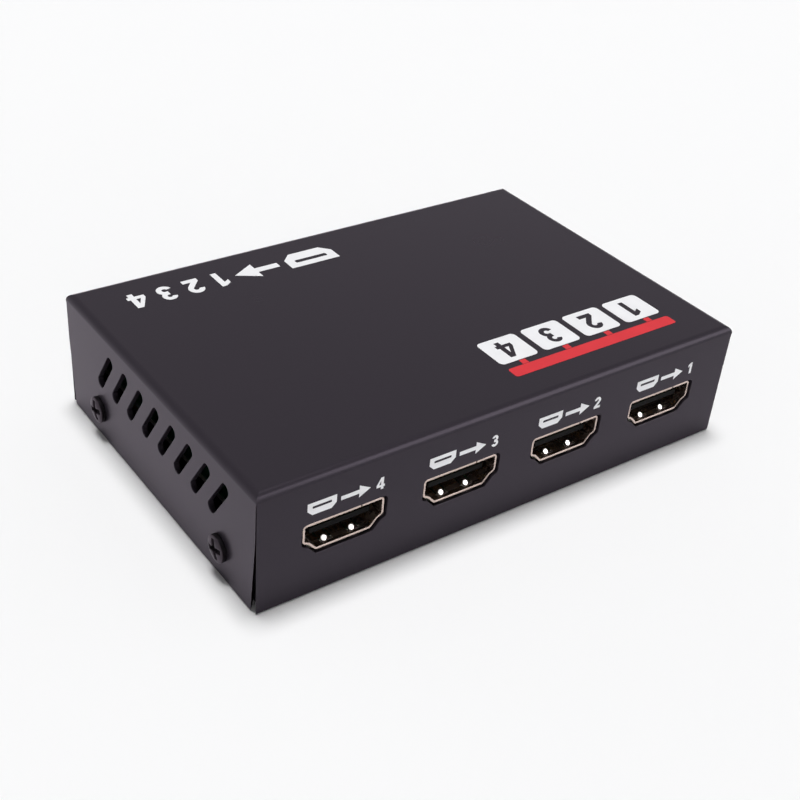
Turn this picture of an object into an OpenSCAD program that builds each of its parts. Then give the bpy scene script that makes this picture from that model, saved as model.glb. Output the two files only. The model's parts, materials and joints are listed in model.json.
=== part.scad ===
// One-in, four-out video splitter box: a folded sheet-metal lid screwed to a tray,
// with a circuit board, five video sockets and a power jack inside.
// The case stands on z = 0, centred on x and y. The outputs face -y, the input faces +y.

/* [Case] */
// Width of the case along the row of outputs
case_w = 100; // [98:0.5:140]
// Depth of the case from front to back
case_d = 66.7; // [65:0.1:100]
// Height of the case
case_h = 23; // [22:0.5:40]
// Thickness of the sheet that the lid and tray are folded from
sheet_t = 1.0; // [0.8:0.05:1.2]
// Outside radius of the lid's bends
lid_bend_r = 1.4; // [1.3:0.05:2.5]
// Outside radius of the tray's bends
tray_bend_r = 1.4; // [1.3:0.05:2.5]
// Gap between the lid and the tray that it slips over
lid_gap = 0.15; // [0.1:0.05:0.3]
// Height of the lid's lower edge above the surface that the tray stands on
lid_lift = 0.2; // [0.1:0.05:0.5]
// How far the lid's side walls stop short of its corners at their foot
seam_foot = 1.3; // [0.3:0.05:1.6]
// How far the lid's front and back walls stop short of its corners at their foot
seam_lap = 0.2; // [0.1:0.05:0.4]
// Width of the corner seams along the walls at their head
seam_head = 0.14; // [0.12:0.01:0.3]
// How far the tray's side walls reach above the collars of the case screws
tray_rim = 0.5; // [0.2:0.1:2]

/* [Side slots] */
// Number of slots on each side
slot_count = 8; // [2:1:8]
// Distance from one slot to the next
slot_pitch = 5.7; // [4.5:0.1:6]
// Width of a slot
slot_w = 2.2; // [1:0.1:2.6]
// Distance between the centres of a slot's round ends
slot_l = 7.3; // [4:0.1:8]
// Lean of a slot towards the front, from upright
slot_lean = 34.6; // [0:0.1:40]
// Height of the middle of the slots
slot_z = 15; // [14:0.1:16]
// How far the row of slots sits in front of the middle of the case
slot_forward = 2; // [-3:0.1:3]

/* [Case screws] */
// Radius of a case screw's thread
case_screw_r = 1.5; // [1.2:0.05:1.6]
// Length of a case screw under its head
case_screw_l = 4; // [3.8:0.1:4.6]
// Radius of a case screw's head
case_head_r = 2.4; // [2.3:0.05:2.8]
// Height of a case screw's head
case_head_h = 1.1; // [1.05:0.05:2]
// Distance between the two screws on one side
case_screw_span = 43.5; // [34:0.5:46]
// How far the pair of screws sits in front of the middle of the case
case_screw_forward = 0.75; // [-1:0.05:1]
// Height of the case screws
case_screw_z = 5.7; // [4.4:0.1:7]
// Length of the tapped collar behind each screw hole in the tray
collar_l = 1.2; // [0.6:0.1:2]
// Wall of the tapped collar round the thread
collar_wall = 0.9; // [0.5:0.1:1.2]

/* [Screw details] */
// Height of the straight edge of a pan head
pan_edge_h = 0.85; // [0.6:0.05:0.9]
// Length of the cross recess over two opposite wings
recess_l = 3.8; // [2:0.1:3.9]
// Width of a wing of the cross recess
recess_w = 0.9; // [0.5:0.05:1]
// Depth of the cross recess
recess_depth = 0.8; // [0.6:0.05:0.85]
// Turn of the cross recess in each case screw
screw_turn = 17; // [0:1:90]
// Gap round a thread in its tapped hole
thread_gap = 0.03; // [0.02:0.01:0.06]
// Gap round a screw in a clearance hole
screw_gap = 0.3; // [0.2:0.05:0.4]
// Length of the bevel at a screw's tip
tip_l = 0.5; // [0.3:0.1:0.8]

/* [Board] */
// Thickness of the circuit board
board_t = 1.2; // [1:0.1:2]
// Distance from the case's front and back faces to the board's edges
board_setback = 2.2; // [1.8:0.1:3]
// Gap between the tips of the case screws and the board's edges
board_tip_gap = 0.9; // [0.6:0.1:1.5]
// Height of the board's standoffs above the tray
standoff_h = 6; // [5:0.1:8]
// Radius of a standoff
standoff_r = 2.5; // [2.3:0.1:3]
// Radius of the stem that holds a standoff in the tray
standoff_stem_r = 2.0; // [1.9:0.05:2.2]
// Radius of a board screw's thread
board_screw_r = 1.4; // [1.2:0.05:1.5]
// Length of a board screw under its head
board_screw_l = 5; // [4:0.5:6]
// Radius of a board screw's head
board_head_r = 2.4; // [2.2:0.05:2.6]
// Height of a board screw's head
board_head_h = 1.6; // [1.3:0.05:1.8]
// Distance from the case's sides to the board's screws
board_screw_side = 9.5; // [9.2:0.1:10]
// Distance from the front face to the front pair of board screws
board_screw_front = 19; // [18:0.5:20]
// Distance from the back face to the back pair of board screws
board_screw_back = 7.5; // [6:0.5:10]
// Gap round a leg in its hole in the board
leg_gap = 0.15; // [0.1:0.05:0.2]
// How far legs stand out under the board
leg_below = 0.8; // [0.4:0.1:1.5]

/* [Video sockets] */
// Distance from the case's sides to the middle of the outermost outputs
socket_side = 15.95; // [15.2:0.05:17]
// Width of a socket's opening
opening_w = 14.2; // [14:0.05:14.3]
// Height of a socket's opening
opening_h = 4.7; // [4.5:0.05:4.8]
// Height of the shoulder where the opening's upright sides end
shoulder_z = 1.9; // [1.8:0.05:2.2]
// Width of the opening at its knee, between the shoulder and the slanted sides
knee_w = 12.4; // [12:0.05:13]
// Height of the knee
knee_z = 1.45; // [1.2:0.05:1.6]
// Width of the opening's floor
floor_w = 9.8; // [9:0.05:10.4]
// Radius of the opening's corners
opening_r = 0.3; // [0.1:0.05:0.4]
// Thickness of the socket's shell
shell_t = 0.3; // [0.2:0.05:0.4]
// Length of the shell behind its mouth
shell_l = 11.5; // [10:0.1:12]
// How far the shell's mouth sits behind the case's face
mouth_recess = 0.4; // [0.1:0.05:0.5]
// Extra thickness of the flared lip round the mouth
lip_w = 0.1; // [0.1:0.05:0.4]
// Length of the flared lip
lip_l = 0.45; // [0.3:0.05:0.5]
// Distance from the middle of a shell to the seam where its sheet meets, in the upper wall
fold_seam_x = 3.2; // [2:0.1:4]
// Width of that seam
fold_seam_w = 0.2; // [0.08:0.01:0.25]
// Gap between the lip and its cut-out in the case
panel_gap = 0.35; // [0.2:0.05:0.5]
// Height of the shell above the board
shell_lift = 0.15; // [0.1:0.05:0.3]
// Width of a shell's solder leg
shell_leg_w = 1.4; // [1:0.1:2]
// Distance from the mouth to the middle of the front legs
front_leg_depth = 4; // [3.5:0.1:5]
// Distance between the front and back legs
leg_spacing = 5.6; // [4:0.1:6]
// Distance between the two spring fingers in the socket's floor
finger_spacing = 5.1; // [4:0.1:6]
// Width of a spring finger
finger_w = 1.7; // [1.2:0.1:2]
// Length of a spring finger
finger_l = 5; // [3:0.1:6]
// Width of the slits that free a spring finger
finger_slit = 0.3; // [0.2:0.05:0.4]
// Distance from the mouth to the slit at a finger's free end
finger_depth = 0.6; // [0.55:0.05:1.2]
// Radius of the dimple pressed into a finger
dimple_r = 0.5; // [0.5:0.05:0.8]
// Height of the dimple
dimple_h = 0.45; // [0.2:0.05:0.5]
// X position of the input on the back
input_x = -12; // [-30:0.5:0]

/* [Socket inserts] */
// Width of the tongue that carries the contacts
tongue_w = 11.2; // [11:0.1:11.6]
// Thickness of the tongue
tongue_t = 1.0; // [0.8:0.05:1.2]
// Height of the tongue's upper face above the opening's floor
tongue_z = 3.1; // [2.9:0.05:3.3]
// Distance from the mouth to the tongue's front edge
tongue_depth = 1.2; // [1:0.05:2]
// Length of the plastic block behind the tongue
block_l = 3.5; // [3:0.1:4]
// Gap between the block and the shell round it
block_gap = 0.05; // [0.03:0.01:0.1]
// Distance between neighbouring contacts of one row
contact_pitch = 1.0; // [0.96:0.01:1.04]
// Contacts in the upper row
contact_count = 10; // [6:1:10]
// Width of a contact on the tongue
contact_w = 0.5; // [0.4:0.05:0.6]
// Thickness of a contact
contact_t = 0.12; // [0.1:0.01:0.15]
// Width of a contact's tail behind the block
tail_w = 0.3; // [0.2:0.02:0.34]
// Length of a tail's foot on the board
tail_foot_l = 1.1; // [0.8:0.1:1.5]
// Distance from the tongue's front edge to the contacts' tips
contact_setback = 0.35; // [0.2:0.05:0.8]
// Gap round a contact in the block
contact_gap = 0.02; // [0.01:0.005:0.03]

/* [Power jack] */
// Distance from the case's right side to the middle of the power jack
jack_side = 20; // [18.5:0.5:21]
// Width of the jack's housing
jack_w = 9; // [8.6:0.1:9.6]
// Height of the jack's housing
jack_h = 11; // [10.6:0.1:11.4]
// Depth of the jack from the case's back face to its own back
jack_l = 14; // [13.8:0.1:14.5]
// Height of the jack's axis above the board
jack_axis_h = 6.5; // [6.2:0.1:6.6]
// Radius of the hole that the plug goes into
jack_bore_r = 3.2; // [3:0.05:3.3]
// Depth of the hole that the plug goes into
jack_bore_l = 9.5; // [9:0.1:9.6]
// Radius of the collar round the hole, which fills the case's cut-out
jack_collar_r = 4.0; // [3.8:0.05:4.2]
// Gap round the collar in the case's cut-out
jack_collar_gap = 0.2; // [0.1:0.05:0.4]
// How far the collar's end sits behind the case's face
jack_recess = 0.2; // [0.1:0.05:0.4]
// Bevel on the housing's upper edges
jack_bevel = 1.2; // [0.5:0.1:2]
// Radius of the centre pin
jack_pin_r = 1.0; // [0.9:0.05:1.1]
// Radius of the centre pin's root in the housing
jack_root_r = 1.3; // [1.2:0.05:1.5]
// How far the centre pin's tip sits behind the case's face
jack_pin_recess = 0.8; // [0.5:0.1:1.5]
// Gap round the centre pin's root
jack_root_gap = 0.03; // [0.02:0.01:0.05]
// Thickness of the jack's terminals
terminal_t = 0.4; // [0.3:0.05:0.5]
// Width of the jack's terminals
terminal_w = 2.4; // [2:0.1:2.8]

/* [Jack spring] */
// Thickness of the sprung contact
spring_t = 0.4; // [0.3:0.05:0.45]
// Width of the sprung contact
spring_w = 2.8; // [2.2:0.1:3]
// Wall between the centre pin's root and the slot under it
spring_roof = 0.6; // [0.5:0.05:0.8]
// Gap between the sprung contact and the sides of its slot
spring_side_gap = 0.3; // [0.2:0.05:0.4]
// How far the crest of the sprung contact stands into the hole
spring_reach = 0.75; // [0.5:0.05:0.8]
// Depth of the crest behind the case's face
crest_depth = 5.6; // [5.2:0.1:6]
// Depth of the bend where the flat root ends
bend_depth = 11.5; // [11.2:0.1:11.8]
// Depth of the line that the sprung contact flexes about
pivot_depth = 12.6; // [12.4:0.1:12.8]
// How far the sprung contact's root lies under the jack's axis
root_drop = 4.4; // [4.3:0.05:4.6]
// How far the tip lies under the crest
tip_drop = 0.95; // [0.7:0.05:1.1]
// Distance from the crest to the tip
tip_length = 2.2; // [1.8:0.1:2.4]
// Gap between the sprung contact and the fixed contacts that it rests on
spring_gap = 0.1; // [0.08:0.01:0.15]

/* [Power lamp] */
// Distance from the case's right side to the middle of the power lamp
lamp_side = 30; // [29:0.5:32]
// Radius of the lamp's lens
lamp_r = 1.5; // [1.3:0.05:1.6]
// Length of the lens from its tip to its back
lamp_l = 5; // [4.8:0.1:5.4]
// Radius of the rim at the back of the lens
lamp_rim_r = 1.9; // [1.8:0.05:2.1]
// Length of that rim
lamp_rim_l = 0.9; // [0.6:0.1:1.2]
// Height of the lamp's axis above the board
lamp_axis_h = 5; // [4:0.1:6]
// How far the lens's tip sits behind the case's face
lamp_recess = 0.1; // [0.05:0.05:0.4]
// Gap round the lens in its holder and in the case
lamp_gap = 0.05; // [0.03:0.01:0.1]
// Wall of the lamp's holder beside the lens
lamp_holder_wall = 0.7; // [0.5:0.1:1]
// Length of the lamp's holder
lamp_holder_l = 5; // [4.6:0.1:5.5]
// Gap between the jack or the lamp's holder and the inside of the case
panel_stand_off = 0.2; // [0.1:0.05:0.4]
// Width of the lamp's wire leads
lead_w = 0.5; // [0.4:0.05:0.6]
// Distance between the two wire leads
lead_spacing = 1.6; // [1.4:0.1:2]

/* [Splitter chip] */
// Width of the splitter chip's body
chip_w = 14; // [12:0.5:15]
// Thickness of the chip's body
chip_t = 1.4; // [1:0.1:1.8]
// Gap under the bodies of chips and regulators
chip_lift = 0.1; // [0.05:0.05:0.15]
// Leads on each side of the splitter chip
chip_lead_count = 16; // [8:1:16]
// Distance between neighbouring leads of the splitter chip
chip_lead_pitch = 0.8; // [0.6:0.05:0.8]
// Width of a lead of the splitter chip
chip_lead_w = 0.35; // [0.25:0.05:0.4]
// How far the leads of chips reach past the body
chip_lead_reach = 1.2; // [0.9:0.05:1.4]
// Thickness of the leads of chips
chip_lead_t = 0.15; // [0.1:0.01:0.2]
// Thickness of the thermal pad
pad_t = 0.3; // [0.2:0.05:0.5]
// Width of the heat sink
sink_w = 18; // [15:0.5:18]
// Thickness of the heat sink's base
sink_base_t = 2; // [1.5:0.1:3]
// Height of the heat sink's fins
sink_fin_h = 5; // [3:0.5:7]
// Number of fins
sink_fin_count = 7; // [3:1:9]
// Thickness of a fin
sink_fin_t = 1; // [0.8:0.1:1.2]

/* [Small parts] */
// Length of the memory chip's body
memory_l = 4.9; // [4:0.1:5.2]
// Width of the memory chip's body
memory_w = 3.9; // [3:0.1:4.2]
// Thickness of the memory chip's body
memory_t = 1.5; // [1:0.1:1.8]
// Distance between neighbouring leads of the memory chip
memory_lead_pitch = 1.27; // [1:0.01:1.3]
// Width of a lead of the memory chip
memory_lead_w = 0.42; // [0.3:0.02:0.5]
// Length of the crystal's can
crystal_l = 10.2; // [9:0.1:10.4]
// Width of the crystal's can
crystal_w = 3.7; // [3:0.1:4]
// Height of the crystal's can
crystal_h = 2.8; // [2:0.1:3.5]
// Thickness of the crystal's base
crystal_base_t = 0.8; // [0.6:0.1:1]
// Rim of the base round the crystal's can
crystal_rim = 0.55; // [0.3:0.05:0.6]
// Length of a voltage regulator's body
regulator_l = 6.5; // [6:0.1:6.8]
// Width of a voltage regulator's body
regulator_w = 3.5; // [3.2:0.1:3.8]
// Thickness of a voltage regulator's body
regulator_t = 1.6; // [1.4:0.1:1.8]
// Width of a voltage regulator's broad tab
regulator_tab_w = 3.0; // [2.6:0.1:3.2]
// Width of a voltage regulator's narrow leads
regulator_lead_w = 0.75; // [0.6:0.05:0.9]
// Distance between neighbouring narrow leads
regulator_lead_pitch = 2.3; // [2.1:0.05:2.4]
// Radius of a smoothing capacitor's can
capacitor_r = 3.15; // [2.5:0.05:3.2]
// Height of a smoothing capacitor's can
capacitor_h = 6; // [5:0.1:8]
// Thickness of a smoothing capacitor's base
capacitor_base_t = 1; // [0.8:0.1:1.2]
// Rim of the base round the capacitor's can
capacitor_rim = 0.15; // [0.1:0.05:0.2]
// Length of a protection chip
protection_l = 2.5; // [2:0.1:3]
// Width of a protection chip
protection_w = 1.0; // [0.8:0.1:1.4]
// Thickness of a protection chip
protection_t = 0.55; // [0.4:0.05:0.8]
// Distance from a face of the case to the protection chips behind its sockets
protection_depth = 16; // [15.5:0.1:16.5]
// Length of a chip capacitor or resistor
small_l = 1.6; // [1:0.1:1.8]
// Width of a chip capacitor or resistor
small_w = 0.8; // [0.5:0.05:0.9]
// Thickness of a chip capacitor
small_capacitor_t = 0.8; // [0.5:0.05:0.9]
// Thickness of a chip resistor
small_resistor_t = 0.45; // [0.3:0.05:0.6]
// Distance from a face of the case to the resistors behind its sockets
resistor_depth = 18.4; // [18:0.1:18.6]
// Distance between neighbouring chip resistors
resistor_pitch = 1.8; // [1.4:0.1:1.8]
// Chip capacitors on each side of the splitter chip
ring_count = 6; // [1:1:7]
// Distance between neighbouring chip capacitors
ring_pitch = 2.4; // [2:0.1:2.6]
// Gap between the splitter chip's leads and the chip capacitors round it
ring_gap = 1.6; // [1:0.1:2]

/* [Hidden] */
$fn = 48;
// Overshoot of a cut past the face that it opens
past = 1;
// Number of outputs
output_count = 4;
// Segments in each rounded corner of a socket's outline
corner_steps = 4;

// Places on the board as [x, y], measured from the middle of the case
CHIP_AT = [0, -2];
MEMORY_AT = [-18, 4];
CRYSTAL_AT = [-17.5, -7];
// Places on the board as distances from the case's right side and its back face
REGULATOR_FROM_CORNER = [[24, 21.35], [16.5, 21.35]];
CAPACITOR_FROM_CORNER = [[32.5, 20.35], [32.5, 12.85], [10, 29.35]];
REGULATOR_AT = [for (place = REGULATOR_FROM_CORNER) from_corner(place)];
CAPACITOR_AT = [for (place = CAPACITOR_FROM_CORNER) from_corner(place)];
jack_x = case_w / 2 - jack_side;
lamp_x = case_w / 2 - lamp_side;
socket_pitch = (case_w - 2 * socket_side) / (output_count - 1);

// Inside faces of the lid
lid_in_x = case_w / 2 - sheet_t;
lid_in_y = case_d / 2 - sheet_t;
lid_in_z = case_h - sheet_t;
// Height at which the lid's corner seams end
seam_top_z = case_h - lid_bend_r - seam_head;
// Outside faces of the tray
tray_x = lid_in_x - lid_gap;
tray_y = lid_in_y - lid_gap;
tray_wall_h = case_screw_z + case_screw_r + collar_wall + tray_rim;

// Faces of the board
board_bottom_z = sheet_t + standoff_h;
board_top_z = board_bottom_z + board_t;
board_x = case_w / 2 - case_screw_l - board_tip_gap;
board_y = case_d / 2 - board_setback;
leg_bottom_z = board_bottom_z - leg_below;
BOARD_SCREW_AT = [
    for (side = [-1, 1]) [side * (case_w / 2 - board_screw_side), board_screw_front - case_d / 2],
    for (side = [-1, 1]) [side * (case_w / 2 - board_screw_side), case_d / 2 - board_screw_back]
];

// Socket outline as a loop that runs anticlockwise, with the opening's floor at height 0
OPENING = [
    [-floor_w / 2, 0], [floor_w / 2, 0],
    [knee_w / 2, knee_z], [opening_w / 2, shoulder_z], [opening_w / 2, opening_h],
    [-opening_w / 2, opening_h], [-opening_w / 2, shoulder_z], [-knee_w / 2, knee_z]
];
opening_z = board_top_z + shell_lift + shell_t;
leg_top_z = opening_z + shoulder_z + shell_t;
shell_back = mouth_recess + shell_l;
block_front = shell_back - block_l;
tongue_front = mouth_recess + tongue_depth;
contact_tip = tongue_front + contact_setback;
// Places of the contacts: [x, height of the lower face above the opening's floor]
UPPER_ROW = [for (i = [0 : contact_count - 1]) [(i - (contact_count - 1) / 2) * contact_pitch, tongue_z]];
LOWER_ROW = [
    for (i = [0 : contact_count - 2])
        [(i - (contact_count - 2) / 2) * contact_pitch, tongue_z - tongue_t - contact_t]
];
CONTACTS = concat(UPPER_ROW, LOWER_ROW);

// Power jack: heights and depths behind the case's back face
jack_z = board_top_z + jack_axis_h;
housing_front = sheet_t + panel_stand_off;
spring_slot_w = spring_w + 2 * spring_side_gap;
root_z = jack_z - root_drop;
crest_z = jack_z - jack_bore_r + spring_reach;
tip_depth = crest_depth - tip_length;
slot_roof_z = jack_z - jack_root_r - spring_roof;
// The fixed switch contact lies just over the sprung one, right behind the plug's hole
switch_front = jack_bore_l + terminal_t;
switch_back = switch_front + 2 * terminal_t;
slope = (crest_z - spring_t - root_z) / (bend_depth - crest_depth);
switch_z = root_z + spring_t / 2 + (bend_depth - switch_front) * slope + spring_gap;
switch_side = spring_slot_w / 2 + terminal_t;

lamp_z = board_top_z + lamp_axis_h;
lamp_back = lamp_recess + lamp_l;
holder_back = housing_front + lamp_holder_l;
holder_w = 2 * (lamp_rim_r + lamp_gap + lamp_holder_wall);

chip_top_z = board_top_z + chip_lift + chip_t;
sink_z = chip_top_z + pad_t;

// Colours
PAINT = [0.13, 0.12, 0.13];
BLACK_STEEL = [0.09, 0.09, 0.10];
PLATED = [0.78, 0.75, 0.74];
BLACK_PLASTIC = [0.05, 0.05, 0.055];
GOLD = [0.83, 0.68, 0.35];
BOARD_GREEN = [0.05, 0.22, 0.12];
BARE_ALUMINIUM = [0.70, 0.71, 0.72];

// Geometry helpers

function unit(v) = v / norm(v);
function before(loop, i) = loop[(i + len(loop) - 1) % len(loop)];
function after(loop, i) = loop[(i + 1) % len(loop)];
// Direction square to a step, pointing out of a loop that runs anticlockwise
function outward(step) = unit([step[1], -step[0]]);
// Loop with every side moved outward by the same distance
function grow(loop, by) = [
    for (i = [0 : len(loop) - 1])
        let (a = outward(loop[i] - before(loop, i)), b = outward(after(loop, i) - loop[i]))
            loop[i] + by * (a + b) / (1 + a * b)
];
// Loop with every corner turned into an arc of radius r
function round_corners(loop, r) = [
    for (i = [0 : len(loop) - 1])
        let (
            back = unit(before(loop, i) - loop[i]),
            ahead = unit(after(loop, i) - loop[i]),
            half = acos(back * ahead) / 2,
            centre = loop[i] + unit(back + ahead) * r / sin(half),
            start = loop[i] + back * r / tan(half) - centre,
            end = loop[i] + ahead * r / tan(half) - centre
        )
            for (k = [0 : corner_steps])
                centre + r * unit(start * (corner_steps - k) + end * k)
];

// Puts children at a place on the case's front or back face: y runs into the case from there
module at_front(x) translate([x, -case_d / 2, 0]) children();
module at_back(x) translate([x, case_d / 2, 0]) rotate(180) children();

// Extrudes an upright outline from one depth to another
module from_to(front, back) translate([0, back, 0]) rotate([90, 0, 0])
    linear_extrude(back - front) children();

// Upright block centred on x, from one depth and height to another
module block(w, front, back, low, high) translate([-w / 2, front, low]) cube([w, back - front, high - low]);

// Half ball whose flat side faces into the case
module round_tip(r) difference() {
    sphere(r);
    from_to(0, r + past) circle(r + past);
}

// Flat block standing on the board, centred on a place
module on_board(place, l, w, t, lift = 0) translate([place[0] - l / 2, place[1] - w / 2, board_top_z + lift])
    cube([l, w, t]);

// Upright outline whose two upper corners are rounded
module bent_outline(w, h, r) {
    translate([-w / 2 + r, 0]) square([w - 2 * r, h]);
    translate([-w / 2, 0]) square([w, h - r]);
    for (side = [-1, 1]) translate([side * (w / 2 - r), h - r]) circle(r);
}

// Block whose four upper edges are rounded
module bent_block(w, d, low, high, r) translate([0, 0, low]) intersection() {
    rotate([90, 0, 0]) linear_extrude(d, center = true) bent_outline(w, high - low, r);
    rotate([90, 0, 90]) linear_extrude(w, center = true) bent_outline(d, high - low, r);
}

// Pan-head screw with a cross recess, pointing down, with the seat of its head at z = 0
module pan_screw(screw_r, length, head_r, head_h) {
    dome_h = head_h - pan_edge_h;
    dome_r = (head_r * head_r + dome_h * dome_h) / (2 * dome_h);
    difference() {
        intersection() {
            cylinder(r = head_r, h = head_h);
            translate([0, 0, head_h - dome_r]) sphere(dome_r);
        }
        for (turn = [0, 90]) rotate(turn) translate([0, 0, head_h - recess_depth]) rotate([90, 0, 0])
            linear_extrude(recess_w, center = true)
                polygon([
                    [-recess_l / 2.4, 0], [recess_l / 2.4, 0],
                    [recess_l / 2, recess_depth], [recess_l / 2, recess_depth + past],
                    [-recess_l / 2, recess_depth + past], [-recess_l / 2, recess_depth]
                ]);
    }
    translate([0, 0, tip_l - length]) cylinder(r = screw_r, h = length - tip_l);
    translate([0, 0, -length]) cylinder(r1 = screw_r - tip_l, r2 = screw_r, h = tip_l);
}

// Gull-wing lead of a chip, from the body's side at y = 0 down to the board, with its middle at x = 0
module gull_lead(w, exit_h) {
    knee = chip_lead_reach / 3;
    rotate([90, 0, 90]) linear_extrude(w, center = true)
        polygon([
            [0, exit_h], [knee, exit_h], [2 * knee - chip_lead_t, 0], [chip_lead_reach, 0],
            [chip_lead_reach, chip_lead_t], [2 * knee, chip_lead_t],
            [knee + chip_lead_t, exit_h + chip_lead_t], [0, exit_h + chip_lead_t]
        ]);
}

// Places children at each case screw, with z pointing out of the case
module at_case_screws() {
    for (side = [-1, 1], end = [-1, 1])
        translate([side * case_w / 2, end * case_screw_span / 2 - case_screw_forward, case_screw_z])
            rotate([0, side * 90, 0]) children();
}

// Places children at each board screw, on the board's upper face
module at_board_screws() {
    for (place = BOARD_SCREW_AT) translate([place[0], place[1], board_top_z]) children();
}

// Places children behind every socket, in the frame of its panel
module at_all_sockets() {
    for (n = [1 : output_count]) at_front(output_x(n)) children();
    at_back(input_x) children();
}

// Place measured from the case's right side and its back face, as [x, y]
function from_corner(place) = [case_w / 2 - place[0], case_d / 2 - place[1]];
// Outputs are numbered from the right as seen from the front
function output_x(n) = ((output_count + 1) / 2 - n) * socket_pitch;

// Case

// Mitred seams at the lid's four corners, which open into wedges towards their foot
module corner_seams() {
    across = 1 / sqrt(2);
    depth = 2 * sheet_t + seam_foot;
    for (side_x = [0, 1], side_y = [0, 1]) mirror([side_x, 0, 0]) mirror([0, side_y, 0])
        translate([case_w / 2, -case_d / 2, 0]) rotate([90, 0, 45]) translate([0, 0, -depth])
            linear_extrude(depth + past)
                polygon([
                    [-seam_lap * across, -past], [seam_foot * across, -past],
                    [seam_head * across / 2, seam_top_z], [-seam_head * across / 2, seam_top_z]
                ]);
}

module side_slots() {
    for (side = [-1, 1], i = [0 : slot_count - 1])
        translate([
            side * (case_w / 2 - sheet_t / 2),
            (i - (slot_count - 1) / 2) * slot_pitch - slot_forward,
            slot_z
        ])
            rotate([90, 0, 90]) linear_extrude(sheet_t + past, center = true) rotate(slot_lean) {
                square([slot_w, slot_l], center = true);
                for (end = [-1, 1]) translate([0, end * slot_l / 2]) circle(slot_w / 2);
            }
}

module socket_cutout() translate([0, 0, opening_z]) from_to(-past, sheet_t + past)
    polygon(round_corners(grow(OPENING, shell_t + lip_w + panel_gap), opening_r + shell_t + lip_w));

module top_cover() color(PAINT) difference() {
    bent_block(case_w, case_d, lid_lift, case_h, lid_bend_r);
    bent_block(2 * lid_in_x, 2 * lid_in_y, lid_lift - past, lid_in_z, lid_bend_r - sheet_t);
    corner_seams();
    side_slots();
    at_case_screws() cylinder(r = case_screw_r + screw_gap, h = 2 * (sheet_t + past), center = true);
    at_all_sockets() socket_cutout();
    at_back(jack_x) translate([0, 0, jack_z])
        from_to(-past, sheet_t + past) circle(jack_collar_r + jack_collar_gap);
    at_back(lamp_x) translate([0, 0, lamp_z])
        from_to(-past, sheet_t + past) circle(lamp_r + lamp_gap);
}

// The tray's outline seen from the front: a floor with a bent-up wall at each side
module tray_outline() {
    translate([0, tray_wall_h]) mirror([0, 1]) difference() {
        bent_outline(2 * tray_x, tray_wall_h, tray_bend_r);
        translate([0, -past])
            bent_outline(2 * (tray_x - sheet_t), tray_wall_h - sheet_t + past, tray_bend_r - sheet_t);
    }
}

module base_tray() color(PAINT) difference() {
    union() {
        translate([0, -tray_y, 0]) from_to(0, 2 * tray_y) tray_outline();
        at_case_screws() translate([0, 0, -(case_w / 2 - tray_x + sheet_t + collar_l)])
            cylinder(r = case_screw_r + collar_wall, h = collar_l + sheet_t / 2);
    }
    at_case_screws() translate([0, 0, -2 * case_screw_l])
        cylinder(r = case_screw_r + thread_gap, h = 2 * case_screw_l);
    at_board_screws() translate([0, 0, -board_top_z - past])
        cylinder(r = standoff_stem_r + thread_gap, h = sheet_t + 2 * past);
}

module case_screws() color(BLACK_STEEL) at_case_screws() rotate(screw_turn)
    pan_screw(case_screw_r, case_screw_l, case_head_r, case_head_h);

// Board and what carries it

module board_standoffs() color("goldenrod") at_board_screws() difference() {
    union() {
        translate([0, 0, sheet_t - board_top_z]) cylinder(r = standoff_r, h = standoff_h);
        translate([0, 0, -board_top_z]) cylinder(r = standoff_stem_r, h = sheet_t);
    }
    translate([0, 0, -board_screw_l - past])
        cylinder(r = board_screw_r + thread_gap, h = board_screw_l + 2 * past);
}

module circuit_board() color(BOARD_GREEN) difference() {
    translate([-board_x, -board_y, board_bottom_z]) cube([2 * board_x, 2 * board_y, board_t]);
    at_board_screws() cylinder(r = board_screw_r + screw_gap, h = 2 * (board_t + past), center = true);
    at_all_sockets() shell_legs(leg_gap);
    at_back(jack_x) {
        pin_leg(leg_gap);
        sleeve_leg(leg_gap);
        switch_leg(leg_gap);
    }
    at_back(lamp_x) lamp_legs(leg_gap);
}

module board_screws() color("silver") at_board_screws()
    pan_screw(board_screw_r, board_screw_l, board_head_r, board_head_h);

// Video sockets

// Solder legs of a shell, or with extra their holes in the board
module shell_legs(extra = 0) {
    for (side = [-1, 1], row = [0, 1])
        translate([
            side * (opening_w + shell_t) / 2 - shell_t / 2 - extra,
            mouth_recess + front_leg_depth + row * leg_spacing - shell_leg_w / 2 - extra,
            leg_bottom_z
        ])
            cube([shell_t + 2 * extra, shell_leg_w + 2 * extra, leg_top_z - leg_bottom_z]);
}

// Slits that free the two spring fingers in the shell's floor
module finger_slits() {
    slit_front = mouth_recess + finger_depth;
    for (side = [-1, 1]) translate([side * finger_spacing / 2, 0, 0]) {
        block(finger_w + 2 * finger_slit, slit_front, slit_front + finger_slit, -2 * shell_t, shell_t);
        for (edge = [-1, 1]) translate([edge * (finger_w + finger_slit) / 2, 0, 0])
            block(finger_slit, slit_front, slit_front + finger_l, -2 * shell_t, shell_t);
    }
}

// Rounded bump pressed up from a finger's free end
module dimple() {
    ball_r = (dimple_r * dimple_r + dimple_h * dimple_h) / (2 * dimple_h);
    intersection() {
        translate([0, 0, dimple_h - ball_r]) sphere(ball_r);
        translate([0, 0, -shell_t / 2]) cylinder(r = dimple_r + shell_t / 2, h = shell_t / 2 + dimple_h);
    }
}

// Upright ring round a socket's opening
module shell_ring(wall) difference() {
    polygon(round_corners(grow(OPENING, wall), opening_r + wall));
    polygon(round_corners(OPENING, opening_r));
}

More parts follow.
